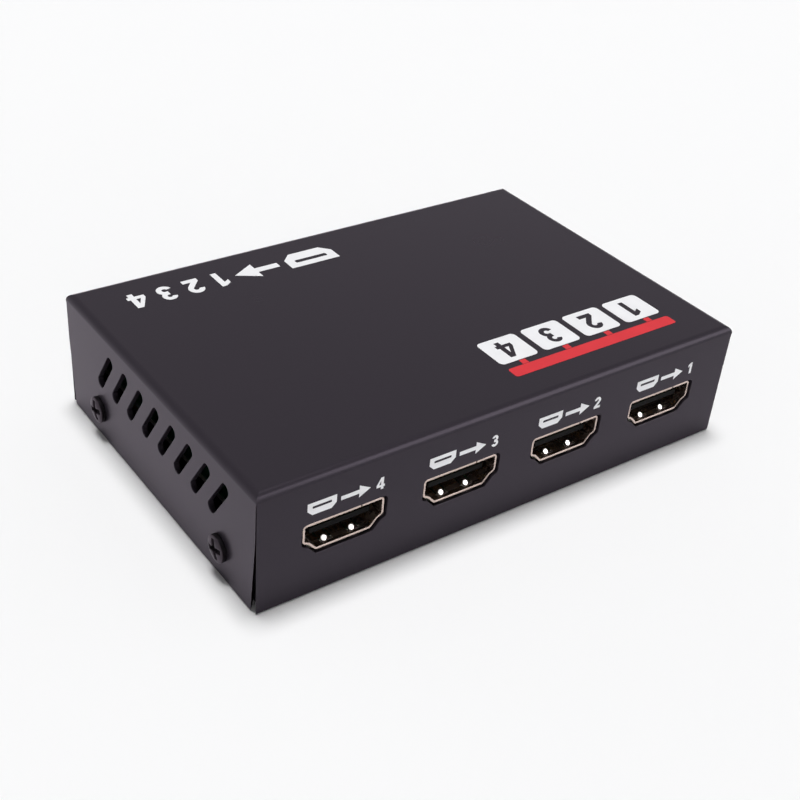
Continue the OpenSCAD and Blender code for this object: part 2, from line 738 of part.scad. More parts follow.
module video_shell() color(PLATED) {
    difference() {
        union() {
            translate([0, 0, opening_z]) {
                from_to(mouth_recess, mouth_recess + lip_l) shell_ring(shell_t + lip_w);
                from_to(mouth_recess, shell_back) shell_ring(shell_t);
            }
            shell_legs();
        }
        translate([0, 0, opening_z]) finger_slits();
        translate([fold_seam_x, 0, opening_z + opening_h])
            block(fold_seam_w, -past, shell_back + past, -shell_t, shell_t + lip_w + past);
    }
    dimple_depth = mouth_recess + finger_depth + finger_slit + dimple_r + shell_t / 2;
    for (side = [-1, 1]) translate([side * finger_spacing / 2, dimple_depth, opening_z]) dimple();
}

// One contact: its strip on the tongue, the drop behind the block and the foot on the board
module contact(place) {
    x = place[0];
    low = opening_z + place[1];
    drop_front = shell_back + contact_t;
    drop_back = drop_front + contact_t;
    translate([x, 0, 0]) {
        block(contact_w, contact_tip, shell_back, low, low + contact_t);
        block(tail_w, shell_back, drop_back, low, low + contact_t);
        block(tail_w, drop_front, drop_back, board_top_z, low + contact_t);
        block(tail_w, drop_front, drop_front + tail_foot_l, board_top_z, board_top_z + contact_t);
    }
}

module video_contacts() color(GOLD) for (place = CONTACTS) contact(place);

module video_insulator() color(BLACK_PLASTIC) difference() {
    union() {
        translate([0, 0, opening_z]) from_to(block_front, shell_back)
            polygon(round_corners(grow(OPENING, -block_gap), opening_r));
        block(tongue_w, tongue_front, block_front + block_l / 2,
            opening_z + tongue_z - tongue_t, opening_z + tongue_z);
    }
    for (place = CONTACTS) translate([place[0], 0, 0])
        block(contact_w + 2 * contact_gap, block_front - past, shell_back + past,
            opening_z + place[1] - (place[1] < tongue_z ? contact_gap : 0),
            opening_z + place[1] + contact_t + (place[1] < tongue_z ? 0 : contact_gap));
}

module output_1_shell() at_front(output_x(1)) video_shell();
module output_2_shell() at_front(output_x(2)) video_shell();
module output_3_shell() at_front(output_x(3)) video_shell();
module output_4_shell() at_front(output_x(4)) video_shell();
module input_shell() at_back(input_x) video_shell();

module output_1_insulator() at_front(output_x(1)) video_insulator();
module output_2_insulator() at_front(output_x(2)) video_insulator();
module output_3_insulator() at_front(output_x(3)) video_insulator();
module output_4_insulator() at_front(output_x(4)) video_insulator();
module input_insulator() at_back(input_x) video_insulator();

module output_1_contacts() at_front(output_x(1)) video_contacts();
module output_2_contacts() at_front(output_x(2)) video_contacts();
module output_3_contacts() at_front(output_x(3)) video_contacts();
module output_4_contacts() at_front(output_x(4)) video_contacts();
module input_contacts() at_back(input_x) video_contacts();

// Power jack

// Leg of the centre pin's terminal, or with extra its hole in the board
module pin_leg(extra = 0) block(terminal_w + 2 * extra, jack_l - extra, jack_l + terminal_t + extra,
    leg_bottom_z, jack_z);

// Post under the sprung contact's root, or with extra its hole in the board
module sleeve_leg(extra = 0) block(terminal_w + 2 * extra,
    pivot_depth - terminal_t - extra, pivot_depth + terminal_t + extra,
    leg_bottom_z, root_z - spring_t / 2 - spring_gap);

// Leg of the fixed switch contact, or with extra its hole in the board
module switch_leg(extra = 0) translate([switch_side, 0, 0])
    block(2 * terminal_t + 2 * extra, switch_front - extra, switch_back + extra,
        leg_bottom_z, switch_z + terminal_t);

module power_jack_housing() color(BLACK_PLASTIC) at_back(jack_x) difference() {
    union() {
        translate([0, 0, board_top_z]) from_to(housing_front, jack_l)
            polygon([
                [-jack_w / 2, 0], [jack_w / 2, 0], [jack_w / 2, jack_h - jack_bevel],
                [jack_w / 2 - jack_bevel, jack_h], [jack_bevel - jack_w / 2, jack_h],
                [-jack_w / 2, jack_h - jack_bevel]
            ]);
        translate([0, 0, jack_z]) from_to(jack_recess, housing_front + past) circle(jack_collar_r);
    }
    translate([0, 0, jack_z]) {
        from_to(-past, jack_bore_l) circle(jack_bore_r);
        from_to(jack_bore_l - past, jack_l + past) circle(jack_root_r + jack_root_gap);
    }
    // Slot that the sprung contact moves in, open towards the board and the back
    block(spring_slot_w, tip_depth - terminal_t, jack_l + past, board_top_z - past, slot_roof_z);
    // Pocket for the fixed switch contact, beside that slot
    translate([switch_side - terminal_t, 0, 0])
        block(4 * terminal_t + 2 * leg_gap, switch_front - leg_gap, switch_back + leg_gap,
            board_top_z - past, switch_z + terminal_t + leg_gap);
}

module power_jack_pin() color(PLATED) at_back(jack_x) {
    translate([0, 0, jack_z]) {
        from_to(jack_pin_recess + jack_pin_r, jack_bore_l) circle(jack_pin_r);
        translate([0, jack_pin_recess + jack_pin_r, 0]) round_tip(jack_pin_r);
        from_to(jack_bore_l, jack_l) circle(jack_root_r);
    }
    pin_leg();
    translate([0, 0, jack_z]) from_to(jack_l, jack_l + terminal_t) circle(jack_root_r);
}

// Sprung contact seen from its side: a flat root, a slope up to the crest and a tip that turns down
module power_jack_spring() color("peru") at_back(jack_x) rotate([90, 0, 90])
    linear_extrude(spring_w, center = true) polygon([
        [pivot_depth + 2 * terminal_t, root_z - spring_t / 2],
        [pivot_depth + 2 * terminal_t, root_z + spring_t / 2],
        [bend_depth, root_z + spring_t / 2],
        [crest_depth + spring_t, crest_z], [crest_depth - spring_t, crest_z],
        [tip_depth, crest_z - tip_drop], [tip_depth, crest_z - tip_drop - spring_t],
        [crest_depth, crest_z - spring_t],
        [bend_depth, root_z - spring_t / 2]
    ]);

module power_jack_terminals() color(PLATED) at_back(jack_x) {
    sleeve_leg();
    switch_leg();
    translate([switch_side / 2, 0, 0])
        block(switch_side, switch_front, switch_back, switch_z, switch_z + terminal_t);
}

// Power lamp

// Wire leads of the lamp under its axis, or with extra their holes in the board
module lamp_legs(extra = 0) {
    for (side = [-1, 1]) translate([side * lead_spacing / 2, 0, 0])
        block(lead_w + 2 * extra, holder_back + lead_w - extra, holder_back + 2 * lead_w + extra,
            leg_bottom_z, lamp_z + lead_w / 2);
}

module power_led_lens() color("crimson") at_back(lamp_x) translate([0, 0, lamp_z]) {
    translate([0, lamp_recess + lamp_r, 0]) round_tip(lamp_r);
    from_to(lamp_recess + lamp_r, lamp_back) circle(lamp_r);
    from_to(lamp_back - lamp_rim_l, lamp_back) circle(lamp_rim_r);
}

module power_led_leads() color("silver") at_back(lamp_x) {
    lamp_legs();
    for (side = [-1, 1]) translate([side * lead_spacing / 2, 0, 0])
        block(lead_w, lamp_back, holder_back + 2 * lead_w, lamp_z - lead_w / 2, lamp_z + lead_w / 2);
}

module power_led_holder() color(BLACK_PLASTIC) at_back(lamp_x) difference() {
    block(holder_w, housing_front, holder_back, board_top_z, lamp_z + holder_w / 2);
    translate([0, 0, lamp_z]) {
        from_to(housing_front - past, holder_back) circle(lamp_r + lamp_gap);
        from_to(lamp_back - lamp_rim_l - lamp_gap, holder_back + past) circle(lamp_rim_r + lamp_gap);
    }
}

// Chips

module splitter_chip() color(BLACK_PLASTIC) on_board(CHIP_AT, chip_w, chip_w, chip_t, chip_lift);

module splitter_chip_leads() color("silver") translate([CHIP_AT[0], CHIP_AT[1], board_top_z])
    for (turn = [0 : 90 : 270], i = [0 : chip_lead_count - 1])
        rotate(turn) translate([(i - (chip_lead_count - 1) / 2) * chip_lead_pitch, chip_w / 2, 0])
            gull_lead(chip_lead_w, chip_lift + chip_t / 2);

module thermal_pad() color("lightgrey") on_board(CHIP_AT, chip_w, chip_w, pad_t, chip_top_z - board_top_z);

module heat_sink() color(BARE_ALUMINIUM) translate([CHIP_AT[0], CHIP_AT[1], sink_z]) {
    translate([-sink_w / 2, -sink_w / 2, 0]) cube([sink_w, sink_w, sink_base_t]);
    fin_pitch = (sink_w - sink_fin_t) / (sink_fin_count - 1);
    for (i = [0 : sink_fin_count - 1])
        translate([i * fin_pitch - sink_w / 2, -sink_w / 2, 0])
            cube([sink_fin_t, sink_w, sink_base_t + sink_fin_h]);
}

module memory_chip() color(BLACK_PLASTIC) on_board(MEMORY_AT, memory_l, memory_w, memory_t, chip_lift);

module memory_chip_leads() color("silver") translate([MEMORY_AT[0], MEMORY_AT[1], board_top_z])
    for (turn = [0, 180], i = [-1.5 : 1.5])
        rotate(turn) translate([i * memory_lead_pitch, memory_w / 2, 0])
            gull_lead(memory_lead_w, chip_lift + memory_t / 2);

// Small parts

module crystal_outline(extra) {
    straight = crystal_l - crystal_w;
    square([crystal_w + 2 * extra, straight], center = true);
    for (end = [-1, 1]) translate([0, end * straight / 2]) circle(crystal_w / 2 + extra);
}

module clock_crystal() color(PLATED)
    translate([CRYSTAL_AT[0], CRYSTAL_AT[1], board_top_z + crystal_base_t])
        linear_extrude(crystal_h) crystal_outline(0);

module crystal_base() color(BLACK_PLASTIC) translate([CRYSTAL_AT[0], CRYSTAL_AT[1], board_top_z])
    linear_extrude(crystal_base_t) crystal_outline(crystal_rim);

module voltage_regulators() color(BLACK_PLASTIC)
    for (place = REGULATOR_AT) on_board(place, regulator_l, regulator_w, regulator_t, chip_lift);

module regulator_leads() color("silver") for (place = REGULATOR_AT)
    translate([place[0], place[1], board_top_z]) {
        exit_h = chip_lift + regulator_t / 2;
        translate([0, regulator_w / 2, 0]) gull_lead(regulator_tab_w, exit_h);
        rotate(180) for (i = [-1 : 1])
            translate([i * regulator_lead_pitch, regulator_w / 2, 0]) gull_lead(regulator_lead_w, exit_h);
    }

module smoothing_capacitors() color(BARE_ALUMINIUM) for (place = CAPACITOR_AT)
    translate([place[0], place[1], board_top_z + capacitor_base_t])
        cylinder(r = capacitor_r, h = capacitor_h);

// Square base with two cut corners, which mark the positive side
module capacitor_bases() color(BLACK_PLASTIC) for (place = CAPACITOR_AT)
    translate([place[0], place[1], board_top_z]) linear_extrude(capacitor_base_t) {
        half = capacitor_r + capacitor_rim;
        cut = capacitor_r / 2;
        polygon([
            [-half, -half], [half - cut, -half], [half, cut - half],
            [half, half - cut], [half - cut, half], [-half, half]
        ]);
    }

module protection_chips() color(BLACK_PLASTIC) at_all_sockets() for (side = [-1, 1])
    translate([side * protection_l, 0, 0])
        block(protection_l, protection_depth - protection_w / 2, protection_depth + protection_w / 2,
            board_top_z, board_top_z + protection_t);

module chip_capacitors() color("tan") for (turn = [0 : 90 : 270], i = [0 : ring_count - 1])
    translate([CHIP_AT[0], CHIP_AT[1], board_top_z]) rotate(turn)
        translate([(i - (ring_count - 1) / 2) * ring_pitch, chip_w / 2 + chip_lead_reach + ring_gap, 0])
            translate([-small_w / 2, -small_l / 2, 0]) cube([small_w, small_l, small_capacitor_t]);

module chip_resistors() color(BLACK_PLASTIC) at_all_sockets() for (i = [-1.5 : 1.5])
    translate([i * resistor_pitch, 0, 0])
        block(small_w, resistor_depth - small_l / 2, resistor_depth + small_l / 2,
            board_top_z, board_top_z + small_resistor_t);

top_cover();
base_tray();
case_screws();
board_standoffs();
circuit_board();
board_screws();
output_1_shell();
output_1_insulator();
output_1_contacts();
output_2_shell();
output_2_insulator();
output_2_contacts();
output_3_shell();
output_3_insulator();
output_3_contacts();
output_4_shell();
output_4_insulator();
output_4_contacts();
input_shell();
input_insulator();
input_contacts();
power_jack_housing();
power_jack_pin();
power_jack_spring();
power_jack_terminals();
power_led_lens();
power_led_leads();
power_led_holder();
splitter_chip();
splitter_chip_leads();
thermal_pad();
heat_sink();
memory_chip();
memory_chip_leads();
clock_crystal();
crystal_base();
voltage_regulators();
regulator_leads();
smoothing_capacitors();
capacitor_bases();
protection_chips();
chip_capacitors();
chip_resistors();
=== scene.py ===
# %% [markdown]
# # A one-in, four-out video splitter
# The real box is two folded sheets of steel, painted black and screwed together, with five video
# sockets and a power jack looking out of it. The construction is already solid geometry, so this
# script only loads it, gives every piece its finish, rounds what a press brake or a mould would
# round, prints the markings and lights it like a small product on a white table.

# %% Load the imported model
import json
import math

import bmesh
import bpy
from mathutils import Matrix, Vector

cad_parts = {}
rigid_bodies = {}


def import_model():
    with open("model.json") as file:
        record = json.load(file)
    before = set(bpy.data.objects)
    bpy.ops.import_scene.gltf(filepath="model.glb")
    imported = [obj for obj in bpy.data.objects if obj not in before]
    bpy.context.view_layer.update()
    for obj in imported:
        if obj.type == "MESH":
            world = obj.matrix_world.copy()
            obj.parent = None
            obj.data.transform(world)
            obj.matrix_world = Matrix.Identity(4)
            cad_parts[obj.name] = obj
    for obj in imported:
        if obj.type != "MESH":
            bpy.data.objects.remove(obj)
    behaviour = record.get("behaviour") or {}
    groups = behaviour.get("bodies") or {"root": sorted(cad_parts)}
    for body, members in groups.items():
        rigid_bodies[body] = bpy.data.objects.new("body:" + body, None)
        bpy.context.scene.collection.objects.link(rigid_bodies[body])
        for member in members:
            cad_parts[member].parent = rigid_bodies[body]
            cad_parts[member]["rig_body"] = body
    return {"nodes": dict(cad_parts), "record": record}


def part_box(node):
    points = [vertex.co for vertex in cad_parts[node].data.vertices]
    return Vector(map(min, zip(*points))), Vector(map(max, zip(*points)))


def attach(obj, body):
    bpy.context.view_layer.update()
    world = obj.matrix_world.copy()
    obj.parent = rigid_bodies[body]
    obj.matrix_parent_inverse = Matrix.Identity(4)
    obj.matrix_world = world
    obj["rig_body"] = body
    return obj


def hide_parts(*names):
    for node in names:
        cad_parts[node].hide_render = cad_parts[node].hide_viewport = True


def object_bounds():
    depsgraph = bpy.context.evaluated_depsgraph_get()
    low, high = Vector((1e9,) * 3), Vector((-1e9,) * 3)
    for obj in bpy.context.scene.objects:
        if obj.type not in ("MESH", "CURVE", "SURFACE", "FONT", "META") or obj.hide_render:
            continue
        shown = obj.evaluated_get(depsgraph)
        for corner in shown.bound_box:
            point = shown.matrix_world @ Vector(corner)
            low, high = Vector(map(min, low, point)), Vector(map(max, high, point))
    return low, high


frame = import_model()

MM = 0.001
cad_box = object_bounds()
slot_of = {part["node"]: part["material_slot"] for part in frame["record"]["subparts"]}

# %% [markdown]
# ## The camera
# A product photograph is mostly a viewpoint. A camera can be dragged about until the picture looks
# right, but then one corner fits and another doesn't. Here direction, distance and lens were worked
# out from the outline of the box, because three of its edges meet at right angles. The camera is rolled
# by a few degrees, as a hand-levelled tripod often is, and has no shift.

# %% Place the camera
AZIMUTH = math.radians(-38.2)
ELEVATION = math.radians(33.922)
ROLL = math.radians(5.107)
DISTANCE = 245.68 * MM
ASIDE = 0.793 * MM
ABOVE = 2.890 * MM
FOCAL_LENGTH = 58.44
SENSOR_W = 36

backward = Vector((
    math.sin(AZIMUTH) * math.cos(ELEVATION),
    -math.cos(AZIMUTH) * math.cos(ELEVATION),
    math.sin(ELEVATION),
))
level_right = Vector((0, 0, 1)).cross(backward).normalized()
level_up = backward.cross(level_right)
right = level_right * math.cos(ROLL) + level_up * math.sin(ROLL)
up = level_up * math.cos(ROLL) - level_right * math.sin(ROLL)

lens = bpy.data.cameras.new("camera")
lens.lens = FOCAL_LENGTH
lens.sensor_width = SENSOR_W
lens.clip_start = 0.01
camera = bpy.data.objects.new("camera", lens)
bpy.context.scene.collection.objects.link(camera)
camera.matrix_world = Matrix((right, up, backward)).transposed().to_4x4()
camera.location = right * ASIDE + up * ABOVE + backward * DISTANCE
bpy.context.scene.camera = camera
print("camera at", [round(value / MM, 1) for value in camera.location], "mm")

# %% [markdown]
# ## A short way to write shader nodes
# Every finish below is a small graph. It could be wired by hand in the shader editor, but in a script
# it can be repeated. One function adds a node, sets its fields and fills its sockets: a number stays a
# number, and another node's output becomes a link. Written like this, a graph reads from its textures
# down to its shader.

# %% Node helpers
def add(tree, kind, values=None, **fields):
    """Add a shader node, with its sockets given as numbers, colours or other nodes' outputs."""
    node = tree.nodes.new("ShaderNode" + kind)
    for field, value in fields.items():
        setattr(node, field, value)
    for socket, value in (values or {}).items():
        if isinstance(value, bpy.types.NodeSocket):
            tree.links.new(value, node.inputs[socket])
        else:
            node.inputs[socket].default_value = value
    return node


def math_of(tree, operation, first, second):
    """One sum of two values, by the name of its operation."""
    return add(tree, "Math", {0: first, 1: second}, operation=operation).outputs[0]


def spread(tree, value, low, high, start=0.0, end=1.0):
    """Stretch a value from the range start to end onto the range low to high."""
    limits = {"From Min": start, "From Max": end, "To Min": low, "To Max": high}
    return add(tree, "MapRange", {"Value": value, **limits}).outputs["Result"]


def mix_colours(tree, mask, first, second):
    """Colour that goes from first to second as the mask goes from 0 to 1."""
    node = add(tree, "Mix", {0: mask}, data_type="RGBA")
    for socket, colour in ((node.inputs[6], first), (node.inputs[7], second)):
        if isinstance(colour, bpy.types.NodeSocket):
            tree.links.new(colour, socket)
        else:
            socket.default_value = (*colour, 1)
    return node.outputs[2]


print("node helpers ready")

# %% [markdown]
# ## The table
# The floor is a wide sheet of matt white paper. A sheet that curves up behind the box would hide the
# horizon, but this camera looks down and never sees one, so a plane is enough. The lamp overhead lights
# all of it evenly: it comes out white up to the edge of the picture, and the shadow stays on it.

# %% Floor
PAPER = (0.94, 0.94, 0.945, 1)
FLOOR_SIZE = 6.0

bpy.ops.mesh.primitive_plane_add(size=FLOOR_SIZE)
floor = bpy.context.object
floor.name = "floor"

paper = bpy.data.materials.new("white_paper")
paper.use_nodes = True
sheet = paper.node_tree.nodes["Principled BSDF"].inputs
sheet["Base Color"].default_value = PAPER
sheet["Roughness"].default_value = 1.0
sheet["Specular IOR Level"].default_value = 0.0
floor.data.materials.append(paper)
print("floor of", FLOOR_SIZE, "m")

# %% [markdown]
# ## The room
# Glossy black paint shows the room more than itself. The walls are white near the table and fade to
# grey higher up, which is why the lid looks darker than the side that mirrors the white table. As a
# lamp the room is weak, so that the shadow stays tight, but for a bright band just over the table,
# like low windows all round: it reaches upright faces and makes the print on them white. Light Path
# tells the rays apart: those from the camera meet a white backdrop, those from a glossy surface meet
# the walls, and those from a matt one meet the band.

# %% World
BACKDROP = (0.955, 0.955, 0.956)
ROOM_LIGHT = 0.11
ROOM_BAND = 3.0
ROOM_ABOVE = 0.54
FADE_FROM = math.sin(math.radians(3))
FADE_TO = math.sin(math.radians(16))


def mirrored(tree):
    """1 on rays from a glossy surface or through glass, and 0 on the others."""
    path = add(tree, "LightPath").outputs
    return math_of(tree, "MAXIMUM", path["Is Glossy Ray"], path["Is Transmission Ray"])


def looked_at(tree):
    """1 on rays from the camera, and 0 on the others."""
    return add(tree, "LightPath").outputs["Is Camera Ray"]


world = bpy.data.worlds.new("room")
world.use_nodes = True
bpy.context.scene.world = world
tree = world.node_tree
tree.nodes.clear()
direction = add(tree, "TexCoord").outputs["Generated"]
height = add(tree, "SeparateXYZ", {0: direction}).outputs["Z"]
walls = spread(tree, height, 1.0, ROOM_ABOVE, FADE_FROM, FADE_TO)
band = spread(tree, height, ROOM_BAND, ROOM_LIGHT, FADE_FROM, FADE_TO)
backdrop = spread(tree, looked_at(tree), band, 1.0)
strength = spread(tree, mirrored(tree), backdrop, walls)
sky = add(tree, "Background", {"Color": (*BACKDROP, 1), "Strength": strength})
add(tree, "OutputWorld", {"Surface": sky.outputs[0]})
print("walls fade to", ROOM_ABOVE, "and the band is", ROOM_BAND)

# %% [markdown]
# ## The lamps
# The light comes from a wide panel overhead, which leaves only a narrow shadow round the foot of the
# box. A lamp of the sun kind with a large angle does this, and it lights the whole table evenly, so
# that a colour renders about as bright as it is written. The softbox in front and to the right is
# there to be mirrored: it draws the pale line in the bend over the sockets and the glints on plated
# steel. It is switched off for matt surfaces, so it casts no second shadow.

# %% Lamps
OVERHEAD_FROM = Vector((0.031, 0.076, 1.0)).normalized()
OVERHEAD_ANGLE = math.radians(19.5)
OVERHEAD_STRENGTH = 2.66
SOFTBOX_FROM = Vector((0.55, -0.68, 0.45)).normalized()
LAMP_DISTANCE = 0.62
SOFTBOX_SIZE = 0.40
SOFTBOX_WATTS = 1.75


def hang(light, towards, distance):
    """Hang a lamp in the given direction from the box, shining back at it."""
    lamp = bpy.data.objects.new(light.name, light)
    lamp.location = towards * distance
    lamp.rotation_euler = towards.to_track_quat("Z", "Y").to_euler()
    bpy.context.scene.collection.objects.link(lamp)
    return lamp


overhead = bpy.data.lights.new("overhead", "SUN")
overhead.angle = OVERHEAD_ANGLE
overhead.energy = OVERHEAD_STRENGTH
hang(overhead, OVERHEAD_FROM, LAMP_DISTANCE)

softbox = bpy.data.lights.new("softbox", "AREA")
softbox.size = SOFTBOX_SIZE
softbox.energy = SOFTBOX_WATTS
hang(softbox, SOFTBOX_FROM, LAMP_DISTANCE).visible_diffuse = False
bpy.context.scene.view_settings.view_transform = "Standard"
print("overhead of", OVERHEAD_STRENGTH, "and softbox of", SOFTBOX_WATTS, "W")

# %% [markdown]
# ## Effects that several finishes share
# Powder paint, moulded plastic and plated steel differ in colour, but they share a few habits: a
# fine grain, paler edges that are partly rub wear and partly a painted highlight, soft marks of handling
# and streaks along the rolling direction.
# Each habit is a node group, built once, and a finish places it with values of its own.

# %% Start a group
def new_group(name, inputs, outputs):
    """Empty shader group with number sockets; returns it with its entry and its exit."""
    group = bpy.data.node_groups.new(name, "ShaderNodeTree")
    for label, value in inputs.items():
        socket = group.interface.new_socket(label, in_out="INPUT", socket_type="NodeSocketFloat")
        socket.default_value = value
    for label in outputs:
        group.interface.new_socket(label, in_out="OUTPUT", socket_type="NodeSocketFloat")
    return group, group.nodes.new("NodeGroupInput").outputs, group.nodes.new("NodeGroupOutput").inputs


def place_group(tree, group, **values):
    """Put a group into a material with its own values; returns its outputs."""
    node = tree.nodes.new("ShaderNodeGroup")
    node.node_tree = group
    for label, value in values.items():
        node.inputs[label].default_value = value
    return node.outputs


print("groups can be made")

# %% [markdown]
# Grain is the skin of powder paint, ink and moulded plastic. Real bumps would need millions of faces,
# so noise gives a height for a Bump node, and a slower noise gives clouds of tone.

# %% Fine grain
grain, entry, leave = new_group("fine grain", {"Scale": 2500.0}, ["Height", "Tone"])
where = add(grain, "TexCoord").outputs["Object"]
bumps = add(grain, "TexNoise", {"Vector": where, "Scale": entry["Scale"], "Detail": 3.0})
slow = math_of(grain, "MULTIPLY", entry["Scale"], 0.12)
clouds = add(grain, "TexNoise", {"Vector": where, "Scale": slow, "Detail": 2.0})
grain.links.new(bumps.outputs[0], leave["Height"])
grain.links.new(clouds.outputs[0], leave["Tone"])
print("fine grain: small bumps, with slow clouds over them")

# %% [markdown]
# Edges rub first, because hands and tools meet them. The same paler edges also stand for the light that
# a rounded edge catches, so this mask is wear and a painted highlight at once. The Pointiness of a
# Geometry node could find them, but it depends on how finely a mesh is cut. Here the faces that are made
# by rounding carry a mark of their own, and noise breaks that mark into patches.

# %% Rubbed edges, also painted edge highlights
edge_wear_and_highlight, entry, leave = new_group("rubbed edges", {"Scale": 700.0, "Reach": 0.5}, ["Mask"])
where = add(edge_wear_and_highlight, "TexCoord").outputs["Object"]
edge = add(edge_wear_and_highlight, "Attribute", attribute_name="rubbed").outputs["Fac"]
patches = add(edge_wear_and_highlight, "TexNoise", {"Vector": where, "Scale": entry["Scale"], "Detail": 4.0})
start = math_of(edge_wear_and_highlight, "SUBTRACT", 0.9, entry["Reach"])
finish = math_of(edge_wear_and_highlight, "ADD", start, 0.25)
worn = spread(edge_wear_and_highlight, patches.outputs[0], 0.0, 1.0, start, finish)
edge_wear_and_highlight.links.new(math_of(edge_wear_and_highlight, "MULTIPLY", edge, worn), leave["Mask"])
print("rubbed edges: patches on the faces marked as edges")

# %% [markdown]
# Fingers leave a soft film and dust leaves specks. A painted mask would need a picture file, so noise
# makes the film and a Voronoi texture makes the specks.

# %% Handling marks
handling, entry, leave = new_group("handling marks", {"Scale": 40.0}, ["Film", "Specks"])
where = add(handling, "TexCoord").outputs["Object"]
film = add(handling, "TexNoise", {"Vector": where, "Scale": entry["Scale"], "Detail": 3.0})
dots_scale = math_of(handling, "MULTIPLY", entry["Scale"], 12.0)
dots = add(handling, "TexVoronoi", {"Vector": where, "Scale": dots_scale})
handling.links.new(spread(handling, film.outputs[0], 0.0, 1.0, 0.2, 0.8), leave["Film"])
handling.links.new(spread(handling, dots.outputs["Distance"], 1.0, 0.0, 0.03, 0.09), leave["Specks"])
print("handling marks: a soft film and a few specks")

# %% [markdown]
# Rolled or drawn metal has fine lines in one direction. An anisotropic shader shows them too, but it
# needs a tangent on every mesh. Noise that is pulled out along one axis gives lines on any mesh.

# %% Drawn streaks
streaks, entry, leave = new_group("drawn streaks", {"Scale": 900.0, "Stretch": 0.06}, ["Streak"])
where = add(streaks, "TexCoord").outputs["Object"]
pull = add(streaks, "CombineXYZ", {0: entry["Stretch"], 1: 1.0, 2: 1.0}).outputs[0]
drawn = add(streaks, "VectorMath", {0: where, 1: pull}, operation="MULTIPLY").outputs[0]
lines = add(streaks, "TexNoise", {"Vector": drawn, "Scale": entry["Scale"], "Detail": 3.0})
streaks.links.new(lines.outputs[0], leave["Streak"])
print("drawn streaks: noise pulled out along x")

# %% [markdown]
# ## Starting a finish
# Each finish fills one slot of the part's record, and one Principled shader is enough for all of
# them. What is the same all over is set on the shader's own sockets, and only what changes over the
# surface comes in through links.

# %% Material helpers
finishes = {}


def new_finish(slot, **constants):
    """Material for a slot, with the shader's constant sockets set; returns its tree and sockets."""
    material = bpy.data.materials.new(slot + "_finish")
    material.use_nodes = True
    shader = material.node_tree.nodes["Principled BSDF"]
    for label, value in constants.items():
        shader.inputs[label.replace("_", " ")].default_value = value
    finishes[slot] = material
    return material.node_tree, shader.inputs


def raise_surface(tree, sockets, height, depth, strength=1.0):
    """Feed a height to the shader's normal, as bumps of the given depth in metres."""
    bump = add(tree, "Bump", {"Height": height, "Distance": depth, "Strength": strength})
    tree.links.new(bump.outputs[0], sockets["Normal"])


print("materials can be made")

# %% [markdown]
# ## Black powder paint
# The lid and tray are powder coated: nearly black, satin, with a texture so fine that it only shows
# as softness. A clear coat over black would be a sharper mirror than this. Most of what the eye sees is
# the white room mirrored at a slant, so the colour stays dark and a broad gloss does the work. Sheet
# edges are a little paler, partly where the coat is thin and partly as a painted highlight along them.

# %% Paint
PAINT_BLACK = (0.0295, 0.0247, 0.0323)
PAINT_EDGE_WEAR_AND_HIGHLIGHT = (0.045, 0.040, 0.046)
PAINT_SHEEN = (0.75, 0.66, 0.77, 1)

tree, sockets = new_finish(
    "case_paint", Specular_IOR_Level=0.27, Specular_Tint=PAINT_SHEEN, Metallic=0.4,
)
texture = place_group(tree, grain, Scale=2600.0)
marks = place_group(tree, handling, Scale=38.0)
edges = place_group(tree, edge_wear_and_highlight, Scale=420.0, Reach=0.5)
# Edges are painted paler: partly a thin coat, partly a painted highlight.
tree.links.new(mix_colours(tree, edges["Mask"], PAINT_BLACK, PAINT_EDGE_WEAR_AND_HIGHLIGHT), sockets["Base Color"])
satin = spread(tree, marks["Film"], 0.27, 0.30)
dull = math_of(tree, "MULTIPLY", marks["Specks"], 0.10)
tree.links.new(math_of(tree, "ADD", satin, dull), sockets["Roughness"])
raise_surface(tree, sockets, texture["Height"], 0.006 * MM)
print("paint", PAINT_BLACK)

# %% [markdown]
# ## Metals
# The sockets are nickel-plated steel, the contacts gold, the jack's spring a bronze strip, and small
# screws and leads are zinc or tin. Each could have a graph of its own, but they differ only in colour
# and roughness, so they are one recipe: a metal with streaks from rolling or drawing that shift both a
# little, and rubbed places that are polished bright.

# %% Metal finishes
POLISHED = (0.93, 0.91, 0.88)


def metal_finish(slot, bright, dull, rough, scale=900.0):
    """Finish of a bare metal, from its bright and dull colours and its roughness."""
    tree, sockets = new_finish(slot, Metallic=1.0)
    streak = place_group(tree, streaks, Scale=scale)["Streak"]
    marks = place_group(tree, handling, Scale=160.0)
    film = math_of(tree, "MULTIPLY", streak, marks["Film"])
    shiny = place_group(tree, edge_wear_and_highlight, Scale=2000.0, Reach=0.9)["Mask"]
    plain = mix_colours(tree, film, bright, dull)
    tree.links.new(mix_colours(tree, shiny, plain, POLISHED), sockets["Base Color"])
    tree.links.new(spread(tree, streak, rough * 0.7, rough * 1.3, 0.25, 0.75), sockets["Roughness"])
    raise_surface(tree, sockets, streak, 0.002 * MM)


metal_finish("plated_steel", (0.60, 0.49, 0.44), (0.50, 0.40, 0.355), 0.26)
metal_finish("contact_gold", (0.83, 0.62, 0.30), (0.70, 0.50, 0.24), 0.28)
metal_finish("spring_bronze", (0.72, 0.45, 0.28), (0.55, 0.32, 0.20), 0.30)
metal_finish("brass", (0.78, 0.60, 0.30), (0.62, 0.46, 0.22), 0.32)
metal_finish("zinc_steel", (0.66, 0.67, 0.66), (0.50, 0.52, 0.50), 0.34)
metal_finish("tinned_lead", (0.72, 0.72, 0.71), (0.58, 0.58, 0.57), 0.38)
metal_finish("bare_aluminium", (0.80, 0.80, 0.81), (0.68, 0.69, 0.70), 0.36)
print("metals", sorted(finishes))

